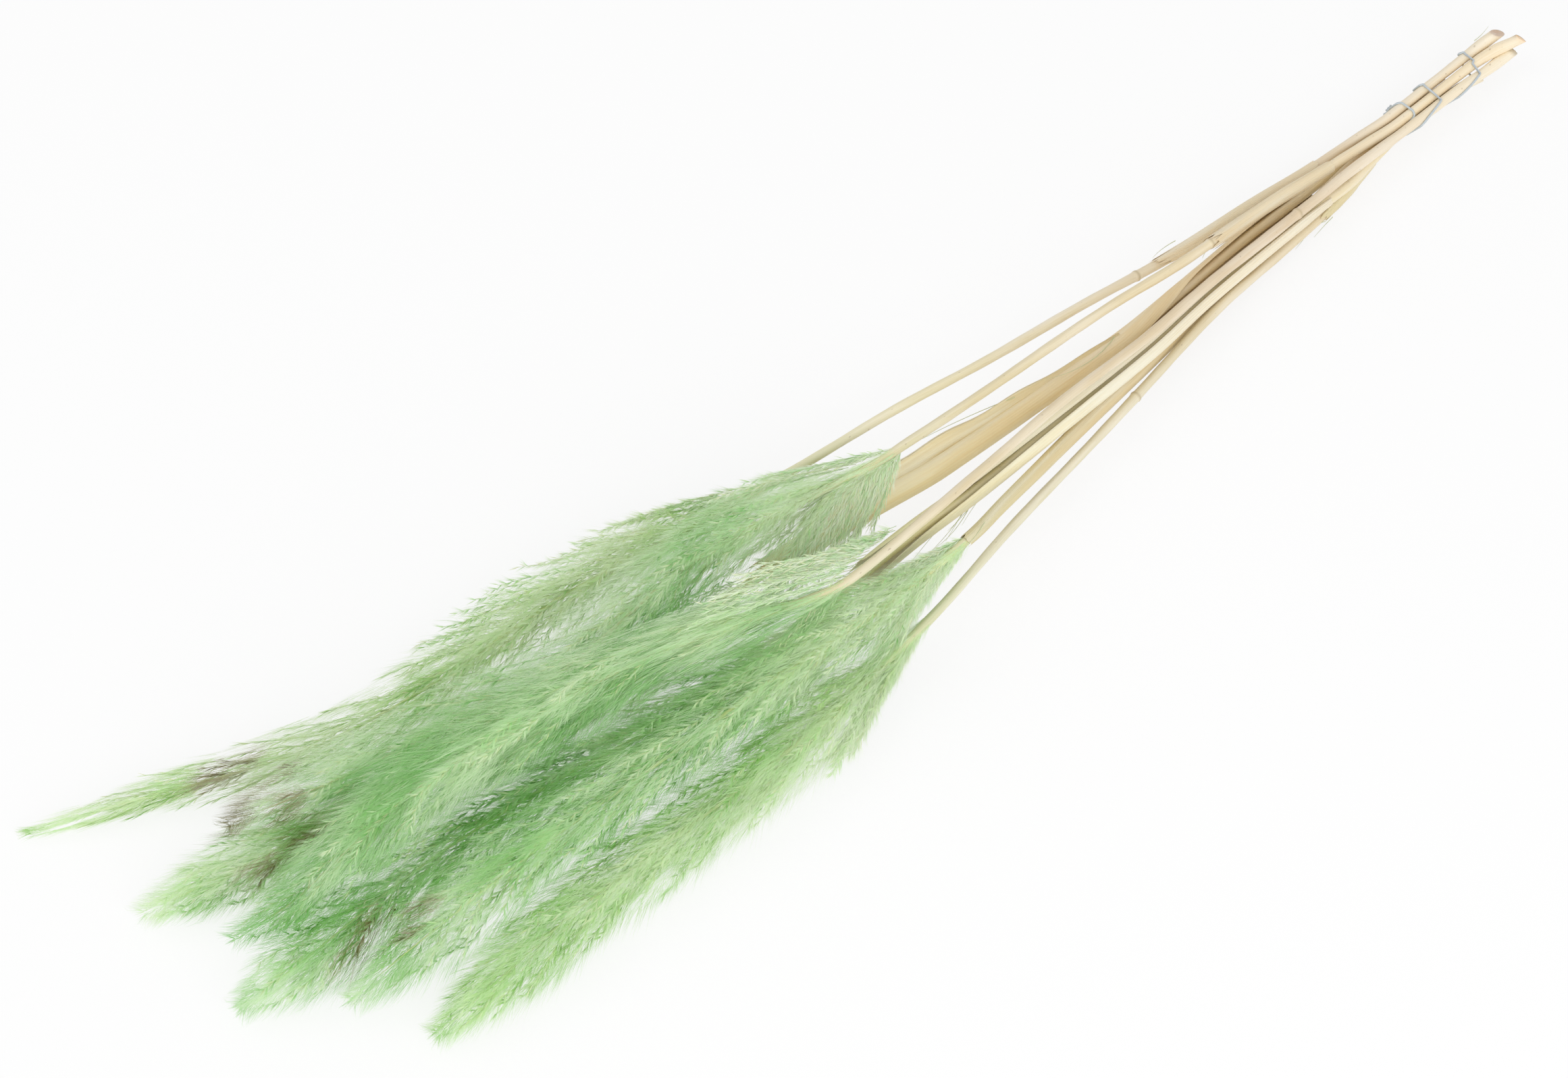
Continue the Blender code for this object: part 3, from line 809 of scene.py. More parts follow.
def dye_and_shade_depth(stalk, points, random):
    """How deep a fibre's green is: its uneven dyeing, plus painted shade that deepens it in the creases
    between two plumes, low down and inside, and painted light that pales it on top.
    """
    y, z = along(STALKS[stalk]["route"], points[:, 0])
    dy, dz = points[:, 1] - y, points[:, 2] - z
    angle = np.arctan2(dz, dy)
    reach = look_up(stalk, "reach", points[:, 0], angle)
    share = np.clip(np.hypot(dy, dz) / reach, 0.0, 1.2)
    crease = look_up(stalk, "walled", points[:, 0], angle) * share
    top = np.clip(dz / reach, -1.0, 1.0)
    dipped = smooth_step((STALKS[stalk]["tip_x"] + 34 - points[:, 0]) / 30)
    # Painted shade and light: the crease, top and share terms deepen the green in the creases between
    # plumes, low down and inside, and pale it on top. The drift, the blots and the dipped tips are real
    # uneven dyeing.
    depth = (0.43 + 0.80 * crease - 0.32 * top - 0.12 * share + 0.50 * drift(points, 5)
             + blots(points, WASHED) + 0.34 * dipped)
    return np.maximum(depth, 0.18 + 0.2 * depth) + random.normal(0, 0.05, len(points))


# %% Mark the places that took the dye otherwise
UNDYED = [(-293, 56, 20), (-300, 60, 18), (-291, 31, 41), (-298, 20, 37), (-312, 33, 30), (-287, 4, 45),
          (-298, 11, 30), (-320, 13, 24), (-309, -37, 21), (-289, -47, 36), (-302, -34, 29)]
POOLED = [(-315, -23, 26), (-306, -18, 24)]


def nearness(points, places, size):
    """1 at the nearest of some places, falling to 0 at an egg-shaped distance along the plume."""
    near = np.full(len(points), 9.0)
    for place in places:
        near = np.minimum(near, np.linalg.norm((points - place) / size, axis=1))
    return np.clip(1.0 - near, 0.0, 1.0)


def spoilt(points, tone, dye_and_shade, random):
    """Tone and depth of green, with grey-brown cores in undyed rings, and the deep green pools."""
    ring = nearness(points, UNDYED, np.array([26.0, 11.0, 13.0]))
    core = nearness(points, UNDYED, np.array([16.0, 5.5, 9.0]))
    pool = nearness(points, POOLED, np.array([26.0, 12.0, 14.0]))
    tone = np.where(random.uniform(0, 1.2, len(points)) < ring, TONE_NAMES.index("white"), tone)
    tone = np.where(random.uniform(0, 0.16, len(points)) < core, TONE_NAMES.index("grey"), tone)
    tone = np.where(random.uniform(0, 0.5, len(points)) < pool, TONE_NAMES.index("green"), tone)
    return tone, dye_and_shade * (1 - 0.4 * ring) + 0.1 * ring + 0.4 * core + 0.7 * pool


# %% Shape hairs from their roots, leans and lengths
def strands(stalk, style, hairs, random):
    """Corners, faces, map places and normals of many thin triangles."""
    root, lean, reach = hairs["root"], hairs["lean"], hairs["reach"][:, None]
    out, across, ahead = hairs["out"], hairs["across"], hairs["ahead"]
    count = len(root)
    root[:, 2] = np.maximum(root[:, 2], ROOT_FLOOR)
    sag = np.array([-0.25, 0.0, -0.55]) * random.uniform(0.0, 0.5, (count, 1))
    middle = root + lean * reach * 0.5
    middle[:, 2] = np.maximum(middle[:, 2], ROOT_FLOOR)
    tip = middle + unit(lean + ahead * 0.35 + sag) * reach * 0.5
    held = held_in(stalk, tip, style["free"], style["mingle"])
    tip = np.where(hairs["loose"][:, None], tip, held)
    end = STALKS[stalk]["tip_x"]
    tip[:, 0] = np.where(tip[:, 0] < end, end + 0.35 * (tip[:, 0] - end), tip[:, 0])
    tip[:, 2] = np.maximum(tip[:, 2], HAIR_FLOOR)
    middle = 0.5 * middle + 0.25 * (root + tip)
    facing = out + across * random.normal(0, 0.7, (count, 1))
    wide = unit(np.cross(unit(tip - root), facing))
    wide = wide * (0.5 * hairs["width"] * random.uniform(0.7, 1.3, count))[:, None]
    normal = unit(np.cross(wide, tip - root))
    facing_up = unit(np.stack([out[:, 0], out[:, 1], np.maximum(out[:, 2], -0.1) + 0.45], -1))
    flip = np.sign(np.sum(normal * facing_up, -1, keepdims=True))
    wide, normal = wide * flip, normal * flip
    corners = np.stack([root - wide, root + wide, middle - wide * 0.8, middle + wide * 0.8, tip], 1)
    places = np.stack([map_places(hairs["tone"], hairs["dye_and_shade"] + du, np.full(count, v)) for du, v in
                       ((-0.003, 0.0), (0.003, 0.0), (-0.003, 0.5), (0.003, 0.5), (0.0, 1.0))], 1)
    bent = random.uniform(0, 1, count) < style["bent"]
    first = 5 * np.arange(count)[:, None]
    straight = first[~bent] + np.array([[0, 1, 4]])
    curved = first[bent][:, None, :] + np.array([[0, 1, 3], [0, 3, 2], [2, 3, 4]])[None]
    faces = np.concatenate([straight, curved.reshape(-1, 3)])
    normals = np.repeat(unit(facing_up + 1.1 * normal)[:, None], 5, 1)
    return corners.reshape(-1, 3), faces, places.reshape(-1, 2), normals.reshape(-1, 3)


# %% Grow the silk of the feathers
def feather_hairs(stalk, style, routes, long, tones, random):
    """Hairs in narrow fans, left and right of each branch."""
    which, t, side = tufts(long, random)
    each = int(style["feather_hairs"] / len(which))
    fan = style["spread"] * random.uniform(0.35, 1.0, len(which))
    roll = random.normal(0, style["roll"], len(which))
    long_tuft = random.uniform(0.8, 1.15, len(which)) * (1.0 - 0.2 * t)
    which, t, side, fan, roll, long_tuft = [np.repeat(v, each) for v in
                                            (which, t, side, fan, roll, long_tuft)]
    count = len(which)
    root, ahead = sample(routes, which, t + random.normal(0, 0.004, count))
    loose = which >= style["branches"]
    out, across = frames(stalk, root, ahead, loose)
    closed = combed(stalk, root[:, 0])
    fan = np.radians(fan + random.normal(0, style["clump"], count)) * (1 - 0.7 * closed)
    roll = np.radians(roll + random.normal(0, 1.6 * style["clump"], count))
    sideways = across * (side * np.cos(roll))[:, None] + out * np.sin(roll)[:, None]
    lean = ahead * np.cos(fan)[:, None] + sideways * np.sin(fan)[:, None]
    strays = random.uniform(0, 1, count) < 0.12
    tone = np.where(strays, random.choice(3, count), tones[which])
    tone = np.where(loose & (random.uniform(0, 1, count) < 0.8), TONE_NAMES.index("fan"), tone)
    # Feather silk is set 0.08 paler than its depth: painted light on the outer feathers.
    dye_and_shade = dye_and_shade_depth(stalk, root, random) - 0.08 + random.normal(0, 0.18, len(long))[which]
    dye_and_shade = dye_and_shade + np.repeat(random.normal(0, style["patchy"], count // each), each)
    tone, dye_and_shade = spoilt(root, tone, dye_and_shade, random)
    hairs = {"root": root, "lean": lean, "ahead": ahead, "out": out, "across": across,
             "reach": style["hair"] * long_tuft * random.uniform(0.5, 1.1, count),
             "width": np.full(count, style["width"]), "tone": tone, "dye_and_shade": dye_and_shade, "loose": loose}
    thick = ~loose | (random.uniform(0, 1, count) < style["thin_fans"])
    return {name: values[thick] for name, values in hairs.items()}


# %% Grow the haze between the feathers
WISP = 12                 # hairs that cling together


def haze_hairs(stalk, style, tones, random):
    """Finer hairs in loose wisps that fill the plume's room and stand a little past it."""
    data = STALKS[stalk]
    tries = 3 * style["haze_hairs"] // WISP
    x = data["plume_x"] - data["plume_length"] * random.uniform(0.0, 1.0, tries)
    turn = random.uniform(0, 2 * np.pi, tries)
    share = random.uniform(0, 1, tries) ** 0.5
    room = look_up(stalk, "reach", x, turn) / data["plume_radius"]
    kept = np.flatnonzero(random.uniform(0, 1, tries) < 0.15 + 0.85 * room)
    kept = np.repeat(kept[:style["haze_hairs"] // WISP], WISP)
    count = len(kept)
    spread = random.normal(0, 0.25, tries)[kept] + random.normal(0, 0.09, count)
    slant = random.normal(0, 0.3, tries)[kept] + random.normal(0, 0.09, count)
    x = np.clip(x[kept] + random.normal(0, 3.0, count), data["tip_x"], data["plume_x"])
    turn = turn[kept] + random.normal(0, 0.08, count)
    share = np.clip(share[kept] + random.normal(0, 0.05, count), 0.0, 1.0)
    closed = combed(stalk, x)
    share = share * room_share(stalk, x, turn, style["fill"]) * (1 - 0.1 * closed)
    root = in_plume(stalk, x, turn, share)
    before, after = [np.stack([x + d, *along(data["route"], x + d)], -1) for d in (2.0, -2.0)]
    ahead = unit(after - before)
    out, across = frames(stalk, root, ahead)
    away = np.stack([np.zeros(count), np.cos(turn), np.sin(turn)], -1)
    spread, slant = (0.12 + 0.5 * share + spread) * (1 - 0.8 * closed), slant * (1 - 0.7 * closed)
    lean = ahead + away * spread[:, None] + across * slant[:, None]
    # The haze is set 0.06 deeper than its depth: painted shade between the feathers.
    tone, dye_and_shade = spoilt(root, random.choice(tones, tries)[kept],
                       dye_and_shade_depth(stalk, root, random) + 0.06, random)
    return {"root": root, "lean": unit(lean), "ahead": ahead, "out": out, "across": across,
            "reach": style["haze"] * random.uniform(0.6, 1.15, count),
            "width": np.full(count, style["haze_width"]), "tone": tone, "dye_and_shade": dye_and_shade,
            "loose": np.zeros(count, bool)}


# %% Grow the spikelets and the branch axes
def grow_branches(stalk, style, routes, long, tones, random):
    """Corners, faces and map places of a plume's axes and spikelets."""
    which, t, side = tufts(long * 0.62, random)
    count = len(which)
    root, forward = sample(routes, which, t)
    out, across = frames(stalk, root, forward, which >= style["branches"])
    fan = np.radians(random.uniform(12, 30, count))
    roll = np.radians(random.normal(0, 25, count))
    sideways = across * (side * np.cos(roll))[:, None] + out * np.sin(roll)[:, None]
    lean = forward * np.cos(fan)[:, None] + sideways * np.sin(fan)[:, None]
    reach = random.uniform(3.2, 5.2, count)[:, None]
    wide = unit(np.cross(lean, out + 0.5 * across * random.normal(0, 1, count)[:, None]))
    belly = root + lean * reach * 0.4
    tip = root + lean * reach
    tip[:, 2] = np.maximum(tip[:, 2], ROOT_FLOOR)
    corners = np.stack([root, belly + wide * 0.25, tip, belly - wide * 0.25], 1)
    lens = np.array([[0, 1, 2], [0, 2, 3]])
    faces = (4 * np.arange(count)[:, None, None] + lens).reshape(-1, 3)
    u = (STALKS[stalk]["plume_x"] - root[:, 0]) / STALKS[stalk]["plume_length"]
    bands = len(SPIKELET_TONES)
    spots = nearness(root, UNDYED, np.array([15.0, 6.0, 10.0]))
    band = np.where(spots > 0.25, list(SPIKELET_TONES).index("grey"), tones[which])
    v = [(band + share) / bands for share in (0.1, 0.5, 0.9, 0.5)]
    places = np.stack([np.stack([u + du, w], -1) for du, w in zip((0, 0.004, 0, -0.004), v)], 1)
    corners, places = corners.reshape(-1, 3), places.reshape(-1, 2)
    tube_corners, tube_faces, tube_places = thin_tubes(routes, 0.15, 0.05, tones, bands)
    faces = np.concatenate([faces, tube_faces + len(corners)])
    return (np.concatenate([corners, tube_corners]), faces,
            np.concatenate([places, tube_places]))


THIRDS = (0.0, 2.0944, 4.18879)   # corners of a three-sided tube, in radians


def thin_tubes(routes, thick, thin, tones, bands):
    """Three-sided tubes along many routes at once."""
    count, points = routes.shape[:2]
    ahead = unit(np.gradient(routes, axis=1))
    one = unit(np.cross(ahead, np.array([0.0, 0.3, 1.0])))
    two = np.cross(ahead, one)
    radius = np.linspace(thick, thin, points)[None, :, None]
    rings = [routes + radius * (one * math.cos(a) + two * math.sin(a)) for a in THIRDS]
    corners = np.stack(rings, 2).reshape(-1, 3)
    ring = (np.arange(count)[:, None] * points + np.arange(points - 1)[None, :]) * 3
    faces = []
    for k in range(3):
        a, b = ring + k, ring + (k + 1) % 3
        faces += [np.stack([a, b, b + 3], -1), np.stack([a, b + 3, a + 3], -1)]
    faces = np.stack(faces, 2).reshape(-1, 3)
    t = np.broadcast_to(np.linspace(0.02, 0.98, points)[None, :, None], (count, points, 3))
    v = (tones[:, None, None] + 0.2 + 0.2 * np.arange(3)[None, None, :]) / bands
    v = np.broadcast_to(v, (count, points, 3))
    return corners, faces, np.stack([t, v], -1).reshape(-1, 2)


print("silk and spikelets ready")

# %% Grow each plume
STYLE = {"branches": 110, "lengths": [56, 50, 42, 22], "twist": 0.0, "rise": 1.4, "droop": 0.4,
         "droop_to": -1.57, "crowding": 1.1, "outward": 0.22, "fill": 0.76,
         "feather_hairs": 76000, "hair": 7.5, "spread": 50.0, "roll": 50.0, "clump": 7.0,
         "haze_hairs": 22000, "haze": 13.0, "haze_width": 0.11, "bent": 0.08, "width": 0.13,
         "free": 4.5, "mingle": 4.0, "closed": 0.35, "patchy": 0.26, "thin_fans": 0.5,
         "tones": {"white": 2, "mint": 3, "green": 3, "lime": 2}}
STYLES = {
    1: {"tones": {"white": 1, "mint": 3, "green": 2, "lime": 3}, "haze_hairs": 15000, "free": 3.0,
        "closed": 0.0, "through": (0.52, 0.79, 0.22)},
    2: {"tones": {"white": 2, "mint": 5, "green": 2}, "feather_hairs": 88000,
        "through": (0.40, 0.76, 0.28)},
    3: {"tones": {"white": 1, "mint": 4, "green": 2, "lime": 2}, "through": (0.41, 0.74, 0.22)},
    4: {"tones": {"white": 2, "mint": 5, "green": 1}, "through": (0.40, 0.76, 0.28)},
    5: {"tones": {"mint": 3, "green": 5}, "through": (0.34, 0.70, 0.19)},
    6: {"tones": {"white": 1, "mint": 4, "green": 2, "lime": 1}, "feather_hairs": 84000,
        "through": (0.41, 0.77, 0.26)},
    7: {"tones": {"white": 1, "mint": 3, "green": 2, "lime": 3}, "through": (0.50, 0.80, 0.24)},
}


def pick_tones(weights, count, random):
    """One tone for each branch, picked by weight."""
    share = np.array(list(weights.values()), float)
    return random.choice([TONE_NAMES.index(n) for n in weights], count, p=share / share.sum())


def make_plume(stalk):
    random = np.random.default_rng(100 + stalk)
    style = {**STYLE, **STYLES[stalk]}
    routes, long = branches(stalk, style, random)
    loose, loose_long = loose_branches(stalk, random)
    routes, long = np.concatenate([routes, loose]), np.concatenate([long, loose_long])
    tones = pick_tones(style["tones"], len(long), random)
    feathers = feather_hairs(stalk, style, routes, long, tones, random)
    haze = haze_hairs(stalk, style, tones, random)
    hairs = {name: np.concatenate([feathers[name], haze[name]]) for name in feathers}
    corners, faces, places, normals = strands(stalk, style, hairs, random)
    silk = mesh_from(f"plume_{stalk}_silk", corners, faces, places, normals)
    finish_piece(silk, silk_finish(f"dyed_silk_{stalk}", stalk, style["through"]), "plume_fibre",
                 f"plume_{stalk}")
    band = random.choice([0, 0, 1, 3], len(long))
    band[style["branches"]:] = random.choice([1, 3, 3], len(long) - style["branches"])
    corners, faces, places = grow_branches(stalk, style, routes, long, band, random)
    twigs = mesh_from(f"plume_{stalk}_branches", corners, faces, places)
    finish_piece(twigs, branch_finish(f"spikelets_{stalk}"), "plume_fibre")
    print("plume", stalk, len(long), "branches", len(silk.data.polygons), "silk triangles",
          len(twigs.data.polygons), "other triangles")


for stalk in STALKS:
    make_plume(stalk)

# %% [markdown]
# ## Stems
#
# A stem is a dry straw: round, satin, with a fine grain along it, a ring where a leaf once grew
# and a cut end that shows its pith. Inside the plume it goes on as a thin axis to the tip. A
# lofted tube gives the slanted cuts and the rings, which a bevelled curve can't. One map runs
# from the cut to the tip and round the stem, so the grain can be stretched along it.

# %% Join rings of points into a tube
SIDES = 16


def grid_faces(rows, columns):
    """Triangles of a grid of corners, row by row."""
    corner = (np.arange(rows - 1)[:, None] * columns + np.arange(columns - 1)[None, :]).ravel()
    return np.concatenate([np.stack([corner, corner + 1, corner + columns + 1], -1),
                           np.stack([corner, corner + columns + 1, corner + columns], -1)])


def grid_places(rows, columns):
    """Map places of a grid: along it, then round it."""
    u = np.broadcast_to(rows[:, None], (len(rows), columns))
    v = np.broadcast_to(np.linspace(0.004, 0.996, columns), (len(rows), columns))
    return np.stack([u, v], -1).reshape(-1, 2)


def tube_rings(points, radii):
    """Rings of corners round a line, each starting at its underside, and their turns."""
    ahead = unit(np.gradient(points, axis=0))
    side = unit(np.cross(np.array([0.0, 0.0, 1.0]), ahead))
    top = np.cross(ahead, side)
    turn = np.linspace(-0.5 * np.pi, 1.5 * np.pi, SIDES + 1)[None, :, None]
    ring = np.cos(turn) * side[:, None] + np.sin(turn) * top[:, None]
    return points[:, None] + radii[:, None, None] * ring, turn[0, :, 0]


print("a ring has", SIDES, "sides")


# %% Shape a stem with its slanted cut
STRAW = {
    1: {"slant": 1.7, "nodes": [131.0], "cut": (0.66, 0.47, 0.34),
        "tones": [(0.91, 0.80, 0.60), (0.80, 0.66, 0.47), (0.86, 0.80, 0.56), (0.68, 0.75, 0.39)]},
    2: {"slant": 1.1, "nodes": [162.0], "cut": (1.0, 0.70, 0.42),
        "tones": [(0.95, 0.81, 0.58), (0.86, 0.73, 0.50), (0.75, 0.66, 0.43), (0.63, 0.62, 0.37)]},
    3: {"slant": 1.0, "nodes": [], "cut": (0.80, 0.74, 0.62),
        "tones": [(0.90, 0.79, 0.47), (0.95, 0.79, 0.52), (0.90, 0.79, 0.43), (0.68, 0.73, 0.37)]},
    4: {"slant": 0.6, "nodes": [205.0], "cut": (0.92, 0.78, 0.56),
        "tones": [(0.98, 0.88, 0.68), (0.74, 0.60, 0.42), (0.74, 0.64, 0.43), (0.63, 0.62, 0.39)]},
    5: {"slant": 0.5, "nodes": [], "cut": (0.92, 0.78, 0.56),
        "tones": [(0.90, 0.79, 0.56), (0.84, 0.73, 0.47), (0.75, 0.68, 0.37), (0.66, 0.73, 0.37)]},
    6: {"slant": 0.8, "nodes": [], "cut": (1.0, 0.72, 0.46),
        "tones": [(0.84, 0.64, 0.41), (0.79, 0.66, 0.41), (0.75, 0.68, 0.39), (0.66, 0.73, 0.37)]},
    7: {"slant": 0.5, "nodes": [88.0], "cut": (0.92, 0.78, 0.56),
        "tones": [(0.84, 0.71, 0.48), (0.78, 0.67, 0.46), (0.72, 0.69, 0.50), (0.66, 0.73, 0.43)]},
}
CUT_FADE = 14.0           # length over which a slanted cut's tilt dies away


def stem_shape(stalk):
    """Corners, faces, map places and length of a stem and the axis it becomes."""
    data, look = STALKS[stalk], STRAW[stalk]
    start, neck, tip = data["cut_x"], data["plume_x"], data["tip_x"] + 12
    x = np.concatenate([np.arange(start, neck, -5.0), np.arange(neck, tip, -7.0)])
    for node in look["nodes"]:
        x = np.concatenate([x, node + np.array([-2.4, -1.2, -0.5, 0.1, 0.6, 1.3, 2.4])])
    x = np.sort(x)[::-1]
    axis = 1.75 - 0.65 * smooth_step((neck - 30 - x) / 60) - 0.85 * (neck - x) / (neck - tip)
    thick = np.where(x < neck, axis, stem_radius(stalk, x))
    thick = thick * (1 + 0.035 * np.sin(0.09 * x + stalk) + 0.02 * np.sin(0.31 * x))
    for node in look["nodes"]:
        thick = thick * (1 + 0.16 * np.exp(-((x - node) / 0.9) ** 2))
    cap = np.array([0.02, 0.55, 0.8, 0.98])
    x = np.concatenate([start + np.array([0.04, 0.03, 0.02, 0.01]), x, [tip - 1.0]])
    thick = np.concatenate([cap * thick[0], thick, [0.02]])
    y, z = along(data["route"], x)
    sway = 0.12 * np.clip((250 - x) / 40, 0, 1)
    y, z = y + sway * np.sin(0.05 * x + 2 * stalk), z + sway * np.sin(0.07 * x + stalk)
    corners, turn = tube_rings(np.stack([x, y, z], -1), thick)
    fade = np.clip(1 - (start - x) / CUT_FADE, 0, 1)
    tilt = look["slant"] * (thick[:, None] * np.sin(turn) + thick[4]) * fade[:, None]
    corners[..., 0] -= tilt
    corners[:4, :, 0] -= np.array([0.5, 0.35, 0.08, 0.0])[:, None]
    share = 0.014 + 0.98 * np.clip((start - x) / (start - tip), 0, 1)
    share[:4] = (0.002, 0.005, 0.008, 0.011)
    return (corners.reshape(-1, 3), grid_faces(len(x), SIDES + 1), grid_places(share, SIDES + 1),
            start - tip)


# %% Make the straw's finish
def straw_finish(name, seed, length, neck, look):
    """Dry straw: fine grain along it, darker streaks, small specks and rings at its nodes."""
    finish = Finish(name)
    place = finish.map_place()
    lengthwise = finish.node("SeparateXYZ", None, {0: place})
    tones = look["tones"]
    stops = [(0.0, look["cut"]), (0.011, look["cut"]), (0.017, tones[0]), (0.4 * neck, tones[1]),
             (0.9 * neck, tones[2]), (min(neck + 0.08, 0.95), tones[3])]
    body = finish.node("ValToRGB", {"stops": stops}, {0: lengthwise})
    grain = finish.noise(place, (length / 26, 30.0), 4.0, (seed, seed, 0.0), Roughness=0.6)
    patches = finish.noise(place, (length / 45, 3.0), 2.0, (2.0 * seed, 0.0, 0.0))
    specks = finish.noise(place, (length / 3.0, 9.0), 1.0)
    colour = finish.mix(finish.rise(grain, 0.42, 3.0) * 0.5, body, (0.88, 0.80, 0.66), "MULTIPLY")
    colour = finish.mix(finish.rise(patches, 0.4, 2.2) * 0.5, colour, (0.98, 0.92, 0.80))
    colour = finish.mix(finish.rise(specks, 0.76, 9.0) * 0.5, colour, (0.36, 0.27, 0.17))
    start = STALKS[seed]["cut_x"]
    for node in look["nodes"]:
        off = finish.maths("ABSOLUTE", lengthwise - (0.014 + 0.98 * (start - node) / length))
        ring = finish.maths("SUBTRACT", 1.0, off * (length / 1.1), clamp=True)
        colour = finish.mix(ring * 0.7, colour, (0.52, 0.42, 0.25))
    bump = finish.node("Bump", None, {"Strength": 0.3, "Distance": 0.0002, "Height": grain})
    shader = finish.node("BsdfPrincipled", None, {
        "Base Color": colour, "Normal": bump, "Roughness": grain * 0.25 + 0.34})
    return finish.done(shader)


for stalk, look in STRAW.items():
    corners, faces, places, length = stem_shape(stalk)
    stem = mesh_from(f"stem_{stalk}_straw", corners, faces, places)
    neck = (STALKS[stalk]["cut_x"] - STALKS[stalk]["plume_x"]) / length
    finish_piece(stem, straw_finish(f"straw_{stalk}", stalk, length, neck, look), "straw_stem",
                 f"stem_{stalk}")
    print("stem", stalk, round(length), "mm with its axis,", len(stem.data.polygons), "triangles")

# %% [markdown]
# ## Leaf sheaths
#
# A sheath is the foot of a dry leaf, rolled round the stem. It is split from end to end, here
# closed to a thin slit, there open enough to show its darker inner face, and it ends torn. Each
# is an open shell with a real wall: one surface outside, one inside, joined along their edges.
# The wall thins to nothing at the torn end, as the fibres do.

# %% Give a surface a wall
def walled_shell(surface, inward, wall):
    """Corners, faces and map places of a shell: outside for v below a half, inside above it."""
    rows = len(surface)
    wall = wall * np.clip(np.minimum(np.arange(rows), np.arange(rows)[::-1]) / 2.0, 0.03, 1.0)
    inside = (surface + wall[:, None, None] * inward)[:, ::-1]
    loop = np.concatenate([surface, inside, surface[:, :1]], 1)
    places = grid_places(np.linspace(0.004, 0.996, rows), loop.shape[1])
    return loop.reshape(-1, 3), grid_faces(rows, loop.shape[1]), places


OPENING = {
    1: {"wrap": [(240, 345), (165, 335), (140, 200)], "split": [(240, 215), (140, 235)]},
    2: {"wrap": [(240, 345), (161, 330)], "split": [(240, 200), (161, 230)]},
    3: {"wrap": [(232, 235), (160, 245), (105, 342), (-30, 346), (-92, 220)],
        "split": [(232, 128), (150, 140), (105, 196), (-40, 200), (-92, 250)]},
    5: {"wrap": [(228, 340), (60, 340), (0, 325), (-66, 262)], "split": [(228, 100), (-66, 112)]},
    6: {"wrap": [(226, 340), (-26, 320)], "split": [(226, 205), (40, 225), (-26, 250)]},
    7: {"wrap": [(266, 330), (222, 250)], "split": [(266, 20), (222, 60)]},
}


def sheath_shape(stalk, random):
    """Corners, faces and map places of a split, torn sheath."""
    sheath, opening = SHEATHS[stalk], OPENING[stalk]
    columns = 26
    rows = int((sheath["from"] - sheath["to"]) / 6) + 8
    torn = sheath["torn"] * (np.abs(random.normal(0, 1, columns)) + 0.3 * np.sin(np.arange(columns)))
    ragged = np.abs(random.normal(0, 1, columns)) * 0.7
    share = np.linspace(0, 1, rows)[:, None]
    start = sheath["from"] - ragged[None, :]
    x = start + share * (sheath["to"] + torn[None, :] - start)
    at = [point[0] for point in opening["wrap"]][::-1]
    wrap = np.radians(np.interp(x, at, [point[1] for point in opening["wrap"]][::-1]))
    at = [point[0] for point in opening["split"]][::-1]
    split = np.radians(np.interp(x, at, [point[1] for point in opening["split"]][::-1]))
    across = np.linspace(0.5, -0.5, columns)[None, :]
    angle = split + np.pi + wrap * across
    radius = sheath_radius(stalk, np.clip(x, sheath["to"], sheath["from"]))
    lap = 0.3 * np.clip(across * 4 - 1, 0, 1)
    ribs = 0.07 * np.sin(13 * angle) + 0.05 * np.sin(29 * angle + 1)
    crease = 0.08 * (sheath["radius"] - 1.7) * np.sin(2 * angle + 0.02 * x + stalk)
    radius = radius + lap + ribs + crease * smooth_step((sheath["from"] - x) / 40)
    y, z = along(STALKS[stalk]["route"], x)
    away = np.stack([np.zeros_like(angle), np.cos(angle), np.sin(angle)], -1)
    surface = np.stack([x, y, z], -1) + radius[..., None] * away
    surface[..., 2] = np.maximum(surface[..., 2], 0.2)
    return walled_shell(surface, -away, 0.35)


# %% Make the sheath's finish
def sheath_finish(name, seed, length, tones, inside):
    """Papery straw: ribs along it, warm streaks, its own colour inside."""
    finish = Finish(name)
    place = finish.map_place()
    lengthwise = finish.node("SeparateXYZ", None, {0: place})
    round_it = lengthwise.out("Y")
    stops = [(k / (len(tones) - 1), tone) for k, tone in enumerate(tones)]
    outer = finish.node("ValToRGB", {"stops": stops}, {0: lengthwise})
    body = finish.mix(finish.maths("GREATER_THAN", round_it, 0.49), outer, inside)
    ribs = finish.maths("SINE", round_it * 330.0) * 0.5 + 0.5
    grain = finish.noise(place, (length / 40, 70.0), 3.0, (seed, 0.0, 0.0), Roughness=0.65)
    patches = finish.noise(place, (length / 60, 9.0), 2.0)
    colour = finish.mix(finish.rise(grain, 0.4, 2.6) * 0.55, body, (0.92, 0.83, 0.66), "MULTIPLY")
    warm = ribs * finish.maths("MULTIPLY", 0.62 - patches, 2.2, clamp=True)
    colour = finish.mix(warm * 0.55, colour, (0.90, 0.66, 0.36))
    colour = finish.mix(finish.rise(patches, 0.42, 2.4) * 0.45, colour, (0.97, 0.93, 0.80))
    bump = finish.node("Bump", None, {"Strength": 0.5, "Distance": 0.0003,
                                      "Height": ribs * 0.4 + grain})
    front = finish.node("BsdfPrincipled", None, {
        "Base Color": colour, "Normal": bump, "Roughness": grain * 0.2 + 0.40})
    behind = finish.node("BsdfTranslucent", None, {"Color": (1.0, 0.88, 0.60, 1.0)})
    return finish.done(finish.blend_shaders(0.1, front, behind))
